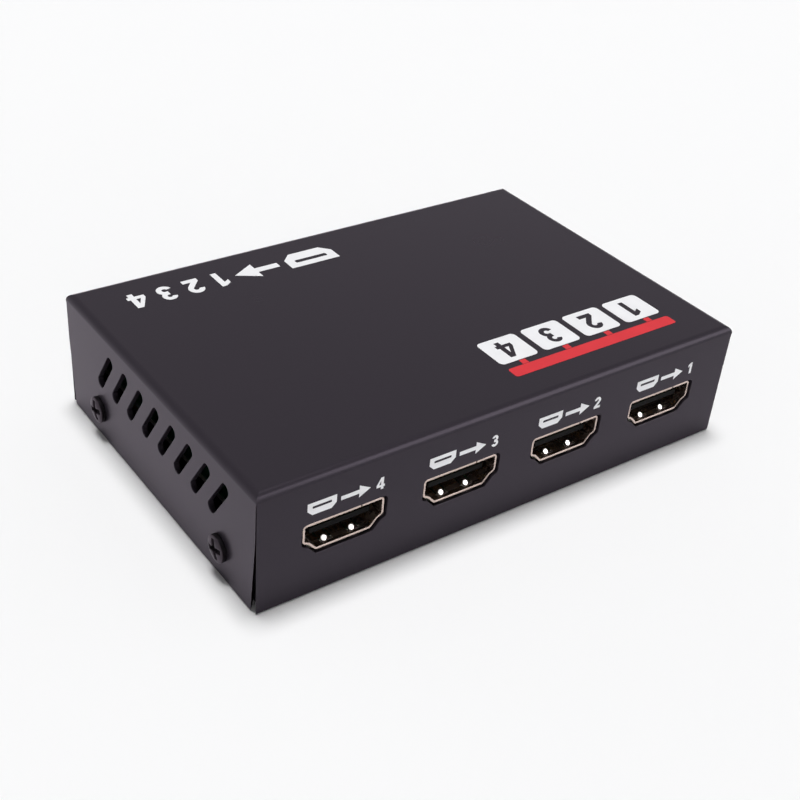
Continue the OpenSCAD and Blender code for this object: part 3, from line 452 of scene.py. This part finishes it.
# %% [markdown]
# The case screws are steel that was blackened in an oil bath. The flanks and the cross recess are a
# deep dry black, which also paints the shade in the gap beside each head. The crowns are rubbed grey
# where a driver turned and a hand passed, and the same mask paints a sheen on them, so it moves the
# colour, the metallic and the roughness.

# %% Blackened steel, with painted shade and sheen
STEEL_BLACK_AND_SHADE = (0.006, 0.005, 0.006)
STEEL_WORN_AND_SHEEN = (0.034, 0.027, 0.033)

tree, sockets = new_finish("black_steel", Specular_IOR_Level=0.12, Specular_Tint=PAINT_SHEEN)
crown_wear_and_sheen = place_group(tree, edge_wear_and_highlight, Scale=900.0, Reach=0.75)["Mask"]
texture = place_group(tree, grain, Scale=4200.0)
# The near-black flanks and recess also paint the shade beside each head; the grey crowns are wear and a
# painted sheen.
tree.links.new(mix_colours(tree, crown_wear_and_sheen, STEEL_BLACK_AND_SHADE, STEEL_WORN_AND_SHEEN), sockets["Base Color"])
tree.links.new(spread(tree, crown_wear_and_sheen, 0.0, 0.4), sockets["Metallic"])
tree.links.new(spread(tree, crown_wear_and_sheen, 0.5, 0.28), sockets["Roughness"])
raise_surface(tree, sockets, texture["Height"], 0.005 * MM)
print("blackened steel, rubbed to", STEEL_WORN_AND_SHEEN)

# %% [markdown]
# ## Plastics, ceramic and rubber
# Inside the sockets and on the board, everything dark is moulded. One flat colour would do from afar,
# but close up it looks like nothing at all. The recipe is a base colour with slow clouds in it, a matt
# grain, and edges painted paler as a painted highlight.

# %% Moulded finishes
def moulded_finish(slot, dark, pale, rough, scale=3000.0, shine=0.4):
    """Finish of a moulded or fired body, from its two colours and its roughness."""
    tree, sockets = new_finish(slot, Specular_IOR_Level=shine)
    texture = place_group(tree, grain, Scale=scale)
    edges = place_group(tree, edge_wear_and_highlight, Scale=900.0, Reach=0.45)
    # The edge mask is added to the clouds: edges are painted paler as a painted highlight.
    clouds = math_of(tree, "ADD", texture["Tone"], edges["Mask"])
    mask = spread(tree, clouds, 0.0, 1.0, 0.3, 1.2)
    tree.links.new(mix_colours(tree, mask, dark, pale), sockets["Base Color"])
    gloss = spread(tree, texture["Tone"], rough - 0.05, rough + 0.05, 0.3, 0.7)
    tree.links.new(gloss, sockets["Roughness"])
    raise_surface(tree, sockets, texture["Height"], 0.006 * MM)


moulded_finish("socket_plastic", (0.003, 0.003, 0.003), (0.006, 0.006, 0.006), 0.60, shine=0.08)
moulded_finish("chip_plastic", (0.011, 0.011, 0.012), (0.024, 0.024, 0.025), 0.55, 5000.0)
moulded_finish("tan_ceramic", (0.34, 0.24, 0.15), (0.46, 0.35, 0.24), 0.40, 6000.0)
moulded_finish("pad_rubber", (0.38, 0.40, 0.43), (0.48, 0.50, 0.53), 0.70, 2000.0)
print("moulded finishes done")

# %% [markdown]
# ## The board
# Glass laminate under green lacquer. Copper tracks show through it as paler lines. A drawing of them
# would need a picture file, and a brick pattern gives much the same straight runs with short jogs. The
# board is cut after it is lacquered, so its edge is bare pale laminate, and that line shows dimly behind
# the side slots.

# %% Board laminate
LACQUER = (0.010, 0.075, 0.034)
LACQUER_OVER_COPPER = (0.022, 0.135, 0.060)
BARE_EDGE = (0.60, 0.63, 0.55)

tree, sockets = new_finish("board_laminate", Specular_IOR_Level=0.5, Coat_Weight=0.3)
where = add(tree, "TexCoord").outputs["Object"]
run_of_tracks = add(tree, "TexBrick", {
    "Vector": where, "Scale": 160.0, "Mortar Size": 0.08, "Mortar Smooth": 0.1,
    "Color1": (0, 0, 0, 1), "Color2": (0, 0, 0, 1), "Mortar": (1, 1, 1, 1),
}).outputs["Fac"]
lacquered = mix_colours(tree, run_of_tracks, LACQUER, LACQUER_OVER_COPPER)
facing = add(tree, "TexCoord").outputs["Normal"]
level = math_of(tree, "ABSOLUTE", add(tree, "SeparateXYZ", {0: facing}).outputs["Z"], 0.0)
flat = spread(tree, level, 0.0, 1.0, 0.4, 0.6)
tree.links.new(mix_colours(tree, flat, BARE_EDGE, lacquered), sockets["Base Color"])
marks = place_group(tree, handling, Scale=60.0)
tree.links.new(spread(tree, marks["Film"], 0.28, 0.40), sockets["Roughness"])
raise_surface(tree, sockets, run_of_tracks, 0.03 * MM)
print("board laminate with tracks and a bare edge")

# %% [markdown]
# ## Lamp and inks
# The lamp's lens is clear red epoxy. As full glass it would show only the dark inside of the case, so
# half of it is solid colour. The markings are screen-printed ink: flat, slightly uneven in cover, and a
# touch rougher than the paint under them.

# %% Lens and inks
tree, sockets = new_finish("lamp_red", Transmission_Weight=0.55, IOR=1.5)
texture = place_group(tree, grain, Scale=900.0)
shade = mix_colours(tree, texture["Tone"], (0.62, 0.02, 0.02), (0.80, 0.04, 0.03))
tree.links.new(shade, sockets["Base Color"])
tree.links.new(spread(tree, texture["Tone"], 0.10, 0.20), sockets["Roughness"])


def ink_finish(slot, thin, full):
    """Finish of a printed ink, from its colour where it is thin and where it covers fully."""
    tree, sockets = new_finish(slot, Specular_IOR_Level=0.3)
    cover = place_group(tree, grain, Scale=1800.0)
    tree.links.new(mix_colours(tree, cover["Tone"], thin, full), sockets["Base Color"])
    tree.links.new(spread(tree, cover["Tone"], 0.5, 0.6), sockets["Roughness"])
    raise_surface(tree, sockets, cover["Height"], 0.003 * MM)


ink_finish("white_ink", (0.80, 0.80, 0.82), (0.90, 0.90, 0.92))
ink_finish("red_ink", (0.60, 0.020, 0.030), (0.72, 0.030, 0.042))
print("finishes for", len(finishes), "slots")

# %% [markdown]
# ## Softening the edges
# Exact solids have knife edges, and nothing made by a press or a mould has. A Bevel modifier that goes
# by angle would round them all, and some here have to stay. So a copy of a node's mesh is welded, its
# triangles are merged back into whole faces, and its sharp edges are bevelled where a test allows it.
# The bevel's own faces get the mark of wear and painted highlight, which is what the finishes read. The
# work is done in millimetres, because the bevel has a smallest size below which it gives up.

# %% Rounding
WELD = 0.0005
FLAT_ENOUGH = math.radians(0.6)
SHARP = math.radians(32)
KEEP_SHARP = math.radians(60)


def all_edges(points):
    """Test that lets every edge be rounded."""
    return True


def leave_straight(mesh):
    """Bend that changes nothing."""


def round_edges(mesh, round_mm, steps, chosen):
    """Bevel the sharp edges of a mesh that pass a test, and give the new faces the mark of wear and
    painted highlight.
    """
    rubbed = mesh.faces.layers.float["rubbed"]
    corners = [
        edge for edge in mesh.edges
        if edge.is_manifold and edge.calc_face_angle() > SHARP
        and chosen([vertex.co for vertex in edge.verts])
    ]
    rounded = bmesh.ops.bevel(
        mesh, geom=corners, offset=round_mm, offset_type="OFFSET", segments=steps,
        profile=0.5, affect="EDGES", clamp_overlap=False,
    )
    for face in rounded["faces"]:
        face[rubbed] = 1.0


print("edges of over", round(math.degrees(SHARP)), "degrees can be rounded")

# %% [markdown]
# A soft copy takes the place of its node in the picture, and the node itself stays as it is, so that
# sizes and joints still come from it. A piece needs three things besides its mesh: the finish of its
# slot, a body to ride on, and shading that follows the large faces. A Weighted Normal modifier does the
# last, because plain smooth shading would bulge flat walls near every rounded edge.

# %% Soft copies
def soft_mesh(node, passes, bend):
    """Mesh of a node, bent first and then rounded in passes that have a radius and a test each."""
    mesh = bmesh.new()
    mesh.from_mesh(frame["nodes"][node].data)
    bmesh.ops.transform(mesh, matrix=Matrix.Scale(1 / MM, 4), verts=mesh.verts)
    bmesh.ops.remove_doubles(mesh, verts=mesh.verts, dist=WELD)
    bmesh.ops.dissolve_limit(mesh, angle_limit=FLAT_ENOUGH, verts=mesh.verts, edges=mesh.edges)
    mesh.faces.layers.float.new("rubbed")
    bend(mesh)
    for round_mm, steps, chosen in passes:
        round_edges(mesh, round_mm, steps, chosen)
    for face in mesh.faces:
        face.smooth = True
    for edge in mesh.edges:
        edge.smooth = not (edge.is_manifold and edge.calc_face_angle() > KEEP_SHARP)
    bmesh.ops.transform(mesh, matrix=Matrix.Scale(MM, 4), verts=mesh.verts)
    return mesh


def finish_piece(name, mesh, body, slot):
    """Make an object of a bmesh, give it a slot's finish and let it ride on a body."""
    data = bpy.data.meshes.new(name)
    mesh.to_mesh(data)
    mesh.free()
    data.materials.append(finishes[slot])
    piece = bpy.data.objects.new(name, data)
    bpy.context.scene.collection.objects.link(piece)
    even = piece.modifiers.new("even shading", "WEIGHTED_NORMAL")
    even.keep_sharp = True
    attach(piece, body)
    return piece


def soft_piece(node, name, round_mm, steps=2, chosen=all_edges, more=(), bend=leave_straight):
    """Rounded stand-in for a node, in the node's own place and slot."""
    body = frame["nodes"][node]["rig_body"]
    mesh = soft_mesh(node, [(round_mm, steps, chosen), *more], bend)
    piece = finish_piece(name, mesh, body, slot_of[node])
    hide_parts(node)
    print(name, "has", len(piece.data.polygons), "faces")
    return piece


print("pieces can be made of", len(finishes), "finishes")

# %% [markdown]
# ## The case
# The lid is one sheet folded down on four sides, and its corners are open seams. The tray is a second
# sheet folded up on two. Punching leaves edges of about a tenth of a millimetre, and the ends of the
# front and back walls are a little rounder. Rounding every edge would spoil the bends of the lid, which
# are round already, and its inside is out of sight, so only edges on the outer skin are softened.

# %% Edges of the lid
SKIN_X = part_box("top_cover")[1].x / MM
SKIN_Y = cad_box[1].y / MM
ON_FACE = 0.02
ON_SKIN = 0.1
SEAM_HEADS_FROM = 20.8
LAP_REACH = 0.35
WALL_EDGE_L = 5


def on_wall_end(points):
    """True for an upright edge at a corner of the lid, where the front or back wall ends."""
    tall = abs(points[0].z - points[1].z) > WALL_EDGE_L
    return tall and all(abs(p.x) > SKIN_X - LAP_REACH and abs(p.y) > SKIN_Y - ON_FACE for p in points)


def on_outer_skin(points):
    """True for any other edge in a wall's outer face that starts below the heads of the seams."""
    outside = all(abs(p.x) > SKIN_X - ON_SKIN or abs(p.y) > SKIN_Y - ON_SKIN for p in points)
    return outside and min(p.z for p in points) < SEAM_HEADS_FROM and not on_wall_end(points)


print("the lid's walls stand at", round(SKIN_X, 2), "and", round(SKIN_Y, 2), "mm")

# %% [markdown]
# On the real box the walls touch under the bend and spring apart towards the foot. A straight wedge
# would look too open half way up, and a strip to cover it would be a piece that isn't there. So each
# upright edge of a seam is split and gets a knee, above which the seam stays as narrow as its head.

# %% Seams of the lid
SEAM_REACH = 4.5
SEAM_EDGE_L = 15
SEAM_OPENS_AT = 14.5


def in_seam(edge):
    """True for an upright edge of a wall at an open corner."""
    tall = abs(edge.verts[0].co.z - edge.verts[1].co.z) > SEAM_EDGE_L
    return tall and all(SKIN_X - abs(v.co.x) + SKIN_Y - abs(v.co.y) < SEAM_REACH for v in edge.verts)


def close_seams(mesh):
    """Keep the seams as narrow as their heads, down to the height where they open."""
    knees = []
    for edge in [edge for edge in mesh.edges if in_seam(edge)]:
        head = max(edge.verts, key=lambda vertex: vertex.co.z)
        knee = bmesh.utils.edge_split(edge, head, 0.5)[1]
        knee.co = (head.co.x, head.co.y, SEAM_OPENS_AT)
        knees.append(knee)
    for face in list(mesh.faces):
        pair = [vertex for vertex in face.verts if vertex in knees]
        if len(pair) == 2 and (pair[0].co - pair[1].co).length < SEAM_REACH:
            bmesh.utils.face_split(face, *pair)
    print(len(knees), "edges of the seams have a knee")


print("the seams open from", SEAM_OPENS_AT, "mm down")

# %% [markdown]
# Where two bends meet at a corner of the lid, smooth shading would blend their directions and twist each
# bend along its whole length. More faces along the bends would hide that, but it is enough to mark the
# edge between them as sharp.

# %% Lid and tray
WALL_END = 0.18
MITRE_FROM = 21.5


def on_mitre(p):
    """True for a point over the bends where it is as far from a side wall as from the front or back."""
    return p.z > MITRE_FROM and abs((SKIN_X - abs(p.x)) - (SKIN_Y - abs(p.y))) < ON_FACE


wall_ends = [(WALL_END, 4, on_wall_end)]
lid = soft_piece("top_cover", "lid", 0.10, 3, on_outer_skin, wall_ends, close_seams)
soft_piece("base_tray", "tray", 0.12)
mitres = 0
for edge in lid.data.edges:
    if all(on_mitre(lid.data.vertices[index].co / MM) for index in edge.vertices):
        edge.use_edge_sharp = True
        mitres += 1
print(mitres, "edges of the mitres are sharp")

# %% [markdown]
# ## Screws
# Pan heads with a cross recess. The crown is a true dome already, so only the rim of the head and the
# mouths of the recess are softened. The worn crowns, which also carry a painted sheen, could be painted
# by hand, but a test on the place of a face tells them from the rest on all four screws at once.

# %% Case and board screws
CROWN_RISE = 0.32
CROWN_X = cad_box[1].x / MM - CROWN_RISE


def on_crown(p):
    """True for a point on the dome of a case screw, above its flank and its recess."""
    return abs(p.x) > CROWN_X


def mark_wear_and_highlight(piece, inside):
    """Give the faces of a piece the mark of wear and painted highlight where their middle passes a test,
    and only there.
    """
    rubbed = piece.data.attributes["rubbed"].data
    for face in piece.data.polygons:
        rubbed[face.index].value = float(inside(face.center / MM))


mark_wear_and_highlight(soft_piece("case_screws", "case_screw_set", 0.07), on_crown)
soft_piece("board_screws", "board_screw_set", 0.07)

# %% [markdown]
# ## Video sockets
# A shell is folded from thin plated sheet with a flared lip, round a black insert with two rows of
# contacts. The lip's rounding is what draws the thin bright line round each opening, so the front of the
# lip is rounded. Its back is left alone: the rim is so narrow there that two roundings would meet and
# fold the face over the opening.

# %% Places on a socket
LIP_DEPTH = 0.8
FLOOR_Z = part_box("output_1_insulator")[0].z / MM
FINGER_RISE = 0.5
FINGER_REACH = 2


def on_lip(points):
    """True for an edge near the front or back face of the case, where the lips of the shells are."""
    return all(abs(p.y) > SKIN_Y - LIP_DEPTH for p in points)


def on_finger(p):
    """True for a point just above the floor of a socket and a little behind its lip."""
    behind = SKIN_Y - abs(p.y) - LIP_DEPTH
    return FLOOR_Z < p.z < FLOOR_Z + FINGER_RISE and 0 < behind < FINGER_REACH


print("the sockets' floors are at", round(FLOOR_Z, 2), "mm")

# %% [markdown]
# In the floor of a shell are two spring fingers. Each ends in a round nose that leans towards the mouth,
# where the plug slides over it and keeps it bright, so the noses shine as two dots in the dark opening.
# A lamp inside would light the whole socket, while a flat lens shape with the right lean mirrors little
# but the softbox.

# %% Spring noses
NOSE_SIZE = (0.50, 0.50, 0.07)
NOSE_SPACING = 5.1
NOSE_ASIDE = 0.45
NOSE_DEPTH = 1.42
NOSE_HEIGHT = 0.36
NOSE_LEAN = math.radians(46)


def spring_noses(socket):
    """The two noses of a socket: flat lens shapes that lean towards its mouth."""
    low, high = (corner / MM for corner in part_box(socket + "_shell"))
    facing = 1 if low.y > 0 else -1
    mesh = bmesh.new()
    rubbed = mesh.faces.layers.float.new("rubbed")
    for side in (-1, 1):
        across = (low.x + high.x) / 2 + facing * NOSE_ASIDE + side * NOSE_SPACING / 2
        middle = Vector((across, facing * (SKIN_Y - NOSE_DEPTH), FLOOR_Z + NOSE_HEIGHT))
        lean = Matrix.Rotation(-facing * NOSE_LEAN, 4, "X") @ Matrix.Diagonal((*NOSE_SIZE, 1))
        place = Matrix.Scale(MM, 4) @ Matrix.Translation(middle) @ lean
        bmesh.ops.create_uvsphere(mesh, u_segments=24, v_segments=16, radius=1, matrix=place)
    for face in mesh.faces:
        face.smooth = True
        face[rubbed] = 1.0
    return finish_piece(socket + "_spring_noses", mesh, "case", "plated_steel")


print("noses lean by", round(math.degrees(NOSE_LEAN)), "degrees")

# %% [markdown]
# The input behind and the four outputs in front are the same part, so one loop dresses all five.

# %% Sockets
for socket in ["output_1", "output_2", "output_3", "output_4", "input"]:
    mark_wear_and_highlight(soft_piece(socket + "_shell", socket + "_socket_shell", 0.05, 2, on_lip), on_finger)
    soft_piece(socket + "_insulator", socket + "_socket_insert", 0.06)
    spring_noses(socket)

# %% [markdown]
# ## Power jack and lamp
# The jack is a black moulding with a centre pin and one sprung contact. The contact is the only piece
# of the box that moves in use. A shape key could bend it, but it would then know nothing of the joint,
# so it rides on a body of its own.

# %% Jack and lamp
soft_piece("power_jack_housing", "jack_housing", 0.15)
soft_piece("power_jack_spring", "jack_spring_strip", 0.05)
soft_piece("power_jack_terminals", "jack_terminals", 0.05)
soft_piece("power_led_holder", "lamp_holder", 0.12)

# %% [markdown]
# ## On the board
# Chips, cans and the heat sink are seldom seen, but the lid comes off. They could keep their exact
# meshes, and then no edge would catch the light. Moulded bodies get a soft edge, drawn cans a rounder
# one, and the finned sink the small radius that an extrusion has.

# %% Board parts
BOARD_PARTS = {
    "circuit_board": 0.10, "splitter_chip": 0.12, "memory_chip": 0.10, "voltage_regulators": 0.10,
    "heat_sink": 0.15, "thermal_pad": 0.05, "clock_crystal": 0.35, "crystal_base": 0.12,
    "smoothing_capacitors": 0.30, "capacitor_bases": 0.12, "board_standoffs": 0.15,
    "chip_capacitors": 0.05, "chip_resistors": 0.05, "protection_chips": 0.05,
}
for node, round_mm in BOARD_PARTS.items():
    soft_piece(node, node + "_soft", round_mm)

# %% [markdown]
# The contacts, leads and the two turned pieces are fine as they are: they keep their exact meshes and
# only take a finish.

# %% Nodes that stay
for node, cad in frame["nodes"].items():
    if not cad.hide_render:
        cad.data.materials.clear()
        cad.data.materials.append(finishes[slot_of[node]])
        print(node, "keeps its mesh in", slot_of[node])

# %% [markdown]
# ## Printed markings
# The ink is a film a few hundredths of a millimetre thick. A mask in the paint could draw it, but its
# edges would blur close up. Here each marking is a set of closed loops, filled by a flat curve, where a
# loop inside another one makes a hole. The edges are clean at any distance, and a digit can be left out
# of a white block in the same way.

# %% Loops
CORNER_STEPS = 6
ARC_STEPS = 12


def round_block(u, v, width, height, radius):
    """Loop of a block with round corners, centred on u and v."""
    loop = []
    for corner, (side, level) in enumerate([(1, 1), (-1, 1), (-1, -1), (1, -1)]):
        for step in range(CORNER_STEPS + 1):
            angle = math.pi / 2 * (corner + step / CORNER_STEPS)
            across = side * (width / 2 - radius) + radius * math.cos(angle)
            along = level * (height / 2 - radius) + radius * math.sin(angle)
            loop.append((u + across, v + along))
    return loop


def arc(u, v, radius, start, end):
    """Points of an arc round u and v, from one angle in degrees to another."""
    turns = [step / ARC_STEPS for step in range(ARC_STEPS + 1)]
    angles = [math.radians(start + (end - start) * turn) for turn in turns]
    return [(u + radius * math.cos(angle), v + radius * math.sin(angle)) for angle in angles]


HEAD_L = 0.9


def arrow(start, end, v, height, line):
    """Loop of an arrow along u, with a shaft of the given width and a head of the given height."""
    neck = end - HEAD_L * height
    return [
        (start, v - line / 2), (neck, v - line / 2), (neck, v - height / 2), (end, v),
        (neck, v + height / 2), (neck, v + line / 2), (start, v + line / 2),
    ]


print("an arc has", len(arc(0, 0, 1, 0, 90)), "points")

# %% [markdown]
# The digits are bold and drawn from straight lines and arcs, in a box one unit high. Like this they
# need no font, and the stroke can be as heavy as the ink.

# %% Digits
DIGITS = {
    1: [[(0.24, 0), (0.47, 0), (0.47, 1), (0.29, 1), (0.05, 0.84), (0.05, 0.61), (0.24, 0.73)]],
    2: [
        arc(0.31, 0.69, 0.31, 175, -38) + [(0.31, 0.21), (0.62, 0.21), (0.62, 0), (0, 0), (0, 0.18)]
        + arc(0.31, 0.69, 0.10, -38, 175),
    ],
    3: [
        arc(0.29, 0.72, 0.28, 165, -42) + arc(0.31, 0.30, 0.30, 50, -165)
        + arc(0.31, 0.30, 0.10, -165, 90) + [(0.22, 0.40), (0.22, 0.63)]
        + arc(0.29, 0.72, 0.09, -90, 165),
    ],
    4: [
        [
            (0.36, 0), (0.57, 0), (0.57, 0.2), (0.67, 0.2), (0.67, 0.38), (0.57, 0.38), (0.57, 1),
            (0.34, 1), (0, 0.38), (0, 0.2), (0.36, 0.2),
        ],
        [(0.36, 0.38), (0.36, 0.72), (0.18, 0.38)],
    ],
}


def digit(number, u, v, height):
    """Loops of a bold digit of the given height, centred on u and v."""
    across = [point[0] for point in DIGITS[number][0]]
    middle = (max(across) + min(across)) / 2
    return [
        [(u + (a - middle) * height, v + (b - 0.5) * height) for a, b in loop]
        for loop in DIGITS[number]
    ]


print("digits", sorted(DIGITS))

# %% [markdown]
# A closed flat curve fills itself and takes a thickness, which is less work than filling loops by hand.
# Its mesh is then laid on a face of the case, sunk in by a hair so that no gap shows under it.

# %% Ink
INK_T = 0.03
INK_SINK = 0.01


def print_ink(name, slot, loops, origin, across, along):
    """Fill loops, in millimetres, with ink on a flat face whose two directions are given."""
    curve = bpy.data.curves.new(name, "CURVE")
    curve.dimensions = "2D"
    curve.fill_mode = "BOTH"
    curve.extrude = (INK_T + INK_SINK) / 2
    for loop in loops:
        spline = curve.splines.new("POLY")
        spline.points.add(len(loop) - 1)
        for point, (u, v) in zip(spline.points, loop):
            point.co = (u, v, 0, 1)
        spline.use_cyclic_u = True
    holder = bpy.data.objects.new(name + "_outline", curve)
    filled = bmesh.new()
    data = holder.to_mesh()
    filled.from_mesh(data)
    bpy.data.objects.remove(holder)
    bmesh.ops.remove_doubles(filled, verts=filled.verts, dist=WELD)
    outward = across.cross(along)
    lift = (INK_T - INK_SINK) / 2
    place = Matrix((across, along, outward)).transposed().to_4x4()
    place.translation = origin + outward * lift
    bmesh.ops.transform(filled, matrix=Matrix.Scale(MM, 4) @ place, verts=filled.verts)
    return finish_piece(name, filled, "case", slot)


print("ink film of", INK_T, "mm")

# %% [markdown]
# Over each output stands a line as wide as the socket: the socket's own shape with its tongue left
# out, an arrow and the number of the output. It could be drawn four times, but only the number changes,
# so a loop places it over each shell.

# %% Marks over the outputs
LABEL_H = 2.3
LABEL_Z = 17.0
SIGN_AT = -4.5
SIGN_W = 5.2
ARROW_FROM = -1.1
ARROW_TO = 4.3
ARROW_LINE = 0.75
NUMBER_AT = 6.2
FRONT = {"across": Vector((1, 0, 0)), "along": Vector((0, 0, 1))}


SLANT = 0.38
TONGUE_UP = 0.1
TONGUE_W = 0.66
TONGUE_H = 0.2
TONGUE_R = 0.06


def socket_sign(u, v, width, height):
    """Loops of a solid socket shape with slanted lower corners and its tongue left out."""
    half = width / 2
    top = height / 2
    slant = SLANT * height
    outline = [
        (u - half, v + top), (u - half, v - top + slant), (u - half + slant, v - top),
        (u + half - slant, v - top), (u + half, v - top + slant), (u + half, v + top),
    ]
    tongue = round_block(
        u, v + TONGUE_UP * height, TONGUE_W * width, TONGUE_H * height, TONGUE_R * height,
    )
    return [outline, tongue]


for n in range(1, 5):
    low, high = (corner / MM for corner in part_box(f"output_{n}_shell"))
    loops = socket_sign(SIGN_AT, 0, SIGN_W, LABEL_H)
    loops.append(arrow(ARROW_FROM, ARROW_TO, 0, LABEL_H, ARROW_LINE))
    loops += digit(n, NUMBER_AT, 0, LABEL_H)
    origin = Vector(((low.x + high.x) / 2, cad_box[0].y / MM, LABEL_Z))
    print_ink(f"output_{n}_mark", "white_ink", loops, origin, **FRONT)
print("four marks over the outputs")

# %% [markdown]
# On the lid, the markings read from the back, where the cables of the input come in. Along the back
# runs one line with an arrow to the numbers 1 to 4, from the same parts as the marks in front.

# %% Line on the lid
TOP_Z = cad_box[1].z / MM
FROM_BEHIND = {"across": Vector((-1, 0, 0)), "along": Vector((0, -1, 0))}
LINE_AT = Vector((-20.35, 25.1, TOP_Z))
LINE_H = 5.0
LINE_SIGN_AT = -15.9
LINE_SIGN_W = 10.5
LINE_ARROW_FROM = -9.0
LINE_ARROW_TO = 0.2
LINE_ARROW_LINE = 1.5
NUMBERS_FROM = -2.4
NUMBER_PITCH = 5.5

strip = socket_sign(LINE_SIGN_AT, 0, LINE_SIGN_W, LINE_H)
strip.append(arrow(LINE_ARROW_FROM, LINE_ARROW_TO, 0, LINE_H, LINE_ARROW_LINE))
for n in range(1, 5):
    strip += digit(n, NUMBERS_FROM + NUMBER_PITCH * n, 0, LINE_H)
print_ink("flow_line", "white_ink", strip, LINE_AT, **FROM_BEHIND)
print("line of", len(strip), "loops")

# %% [markdown]
# Near the front a red bar feeds four white screens, which is what the box does. The inks are two films,
# as two passes of a real screen print would be, and the digits are holes in the white one.

# %% Bar and screens on the lid
DESIGN_AT = Vector((22.7, -21.35, TOP_Z))
DESIGN_W = 37.8
BAR_V = 4.45
BAR_H = 2.6
BAR_R = 0.5
FEED_V = 2.45
FEED = (1.3, 1.2)
FEED_R = 0.1
SCREEN_V = -2.05
SCREEN = (8.4, 7.4)
SCREEN_R = 0.9
SCREEN_DIGIT_H = 5.0

pitch = (DESIGN_W - SCREEN[0]) / 3
bar = [round_block(0, BAR_V, DESIGN_W, BAR_H, BAR_R)]
screens = []
for n in range(1, 5):
    u = (n - 2.5) * pitch
    bar.append(round_block(u, FEED_V, *FEED, FEED_R))
    screens.append(round_block(u, SCREEN_V, *SCREEN, SCREEN_R))
    screens += digit(n, u, SCREEN_V, SCREEN_DIGIT_H)
print_ink("feed_bar", "red_ink", bar, DESIGN_AT, **FROM_BEHIND)
print_ink("four_screens", "white_ink", screens, DESIGN_AT, **FROM_BEHIND)
print("bar of", len(bar), "loops and screens of", len(screens))
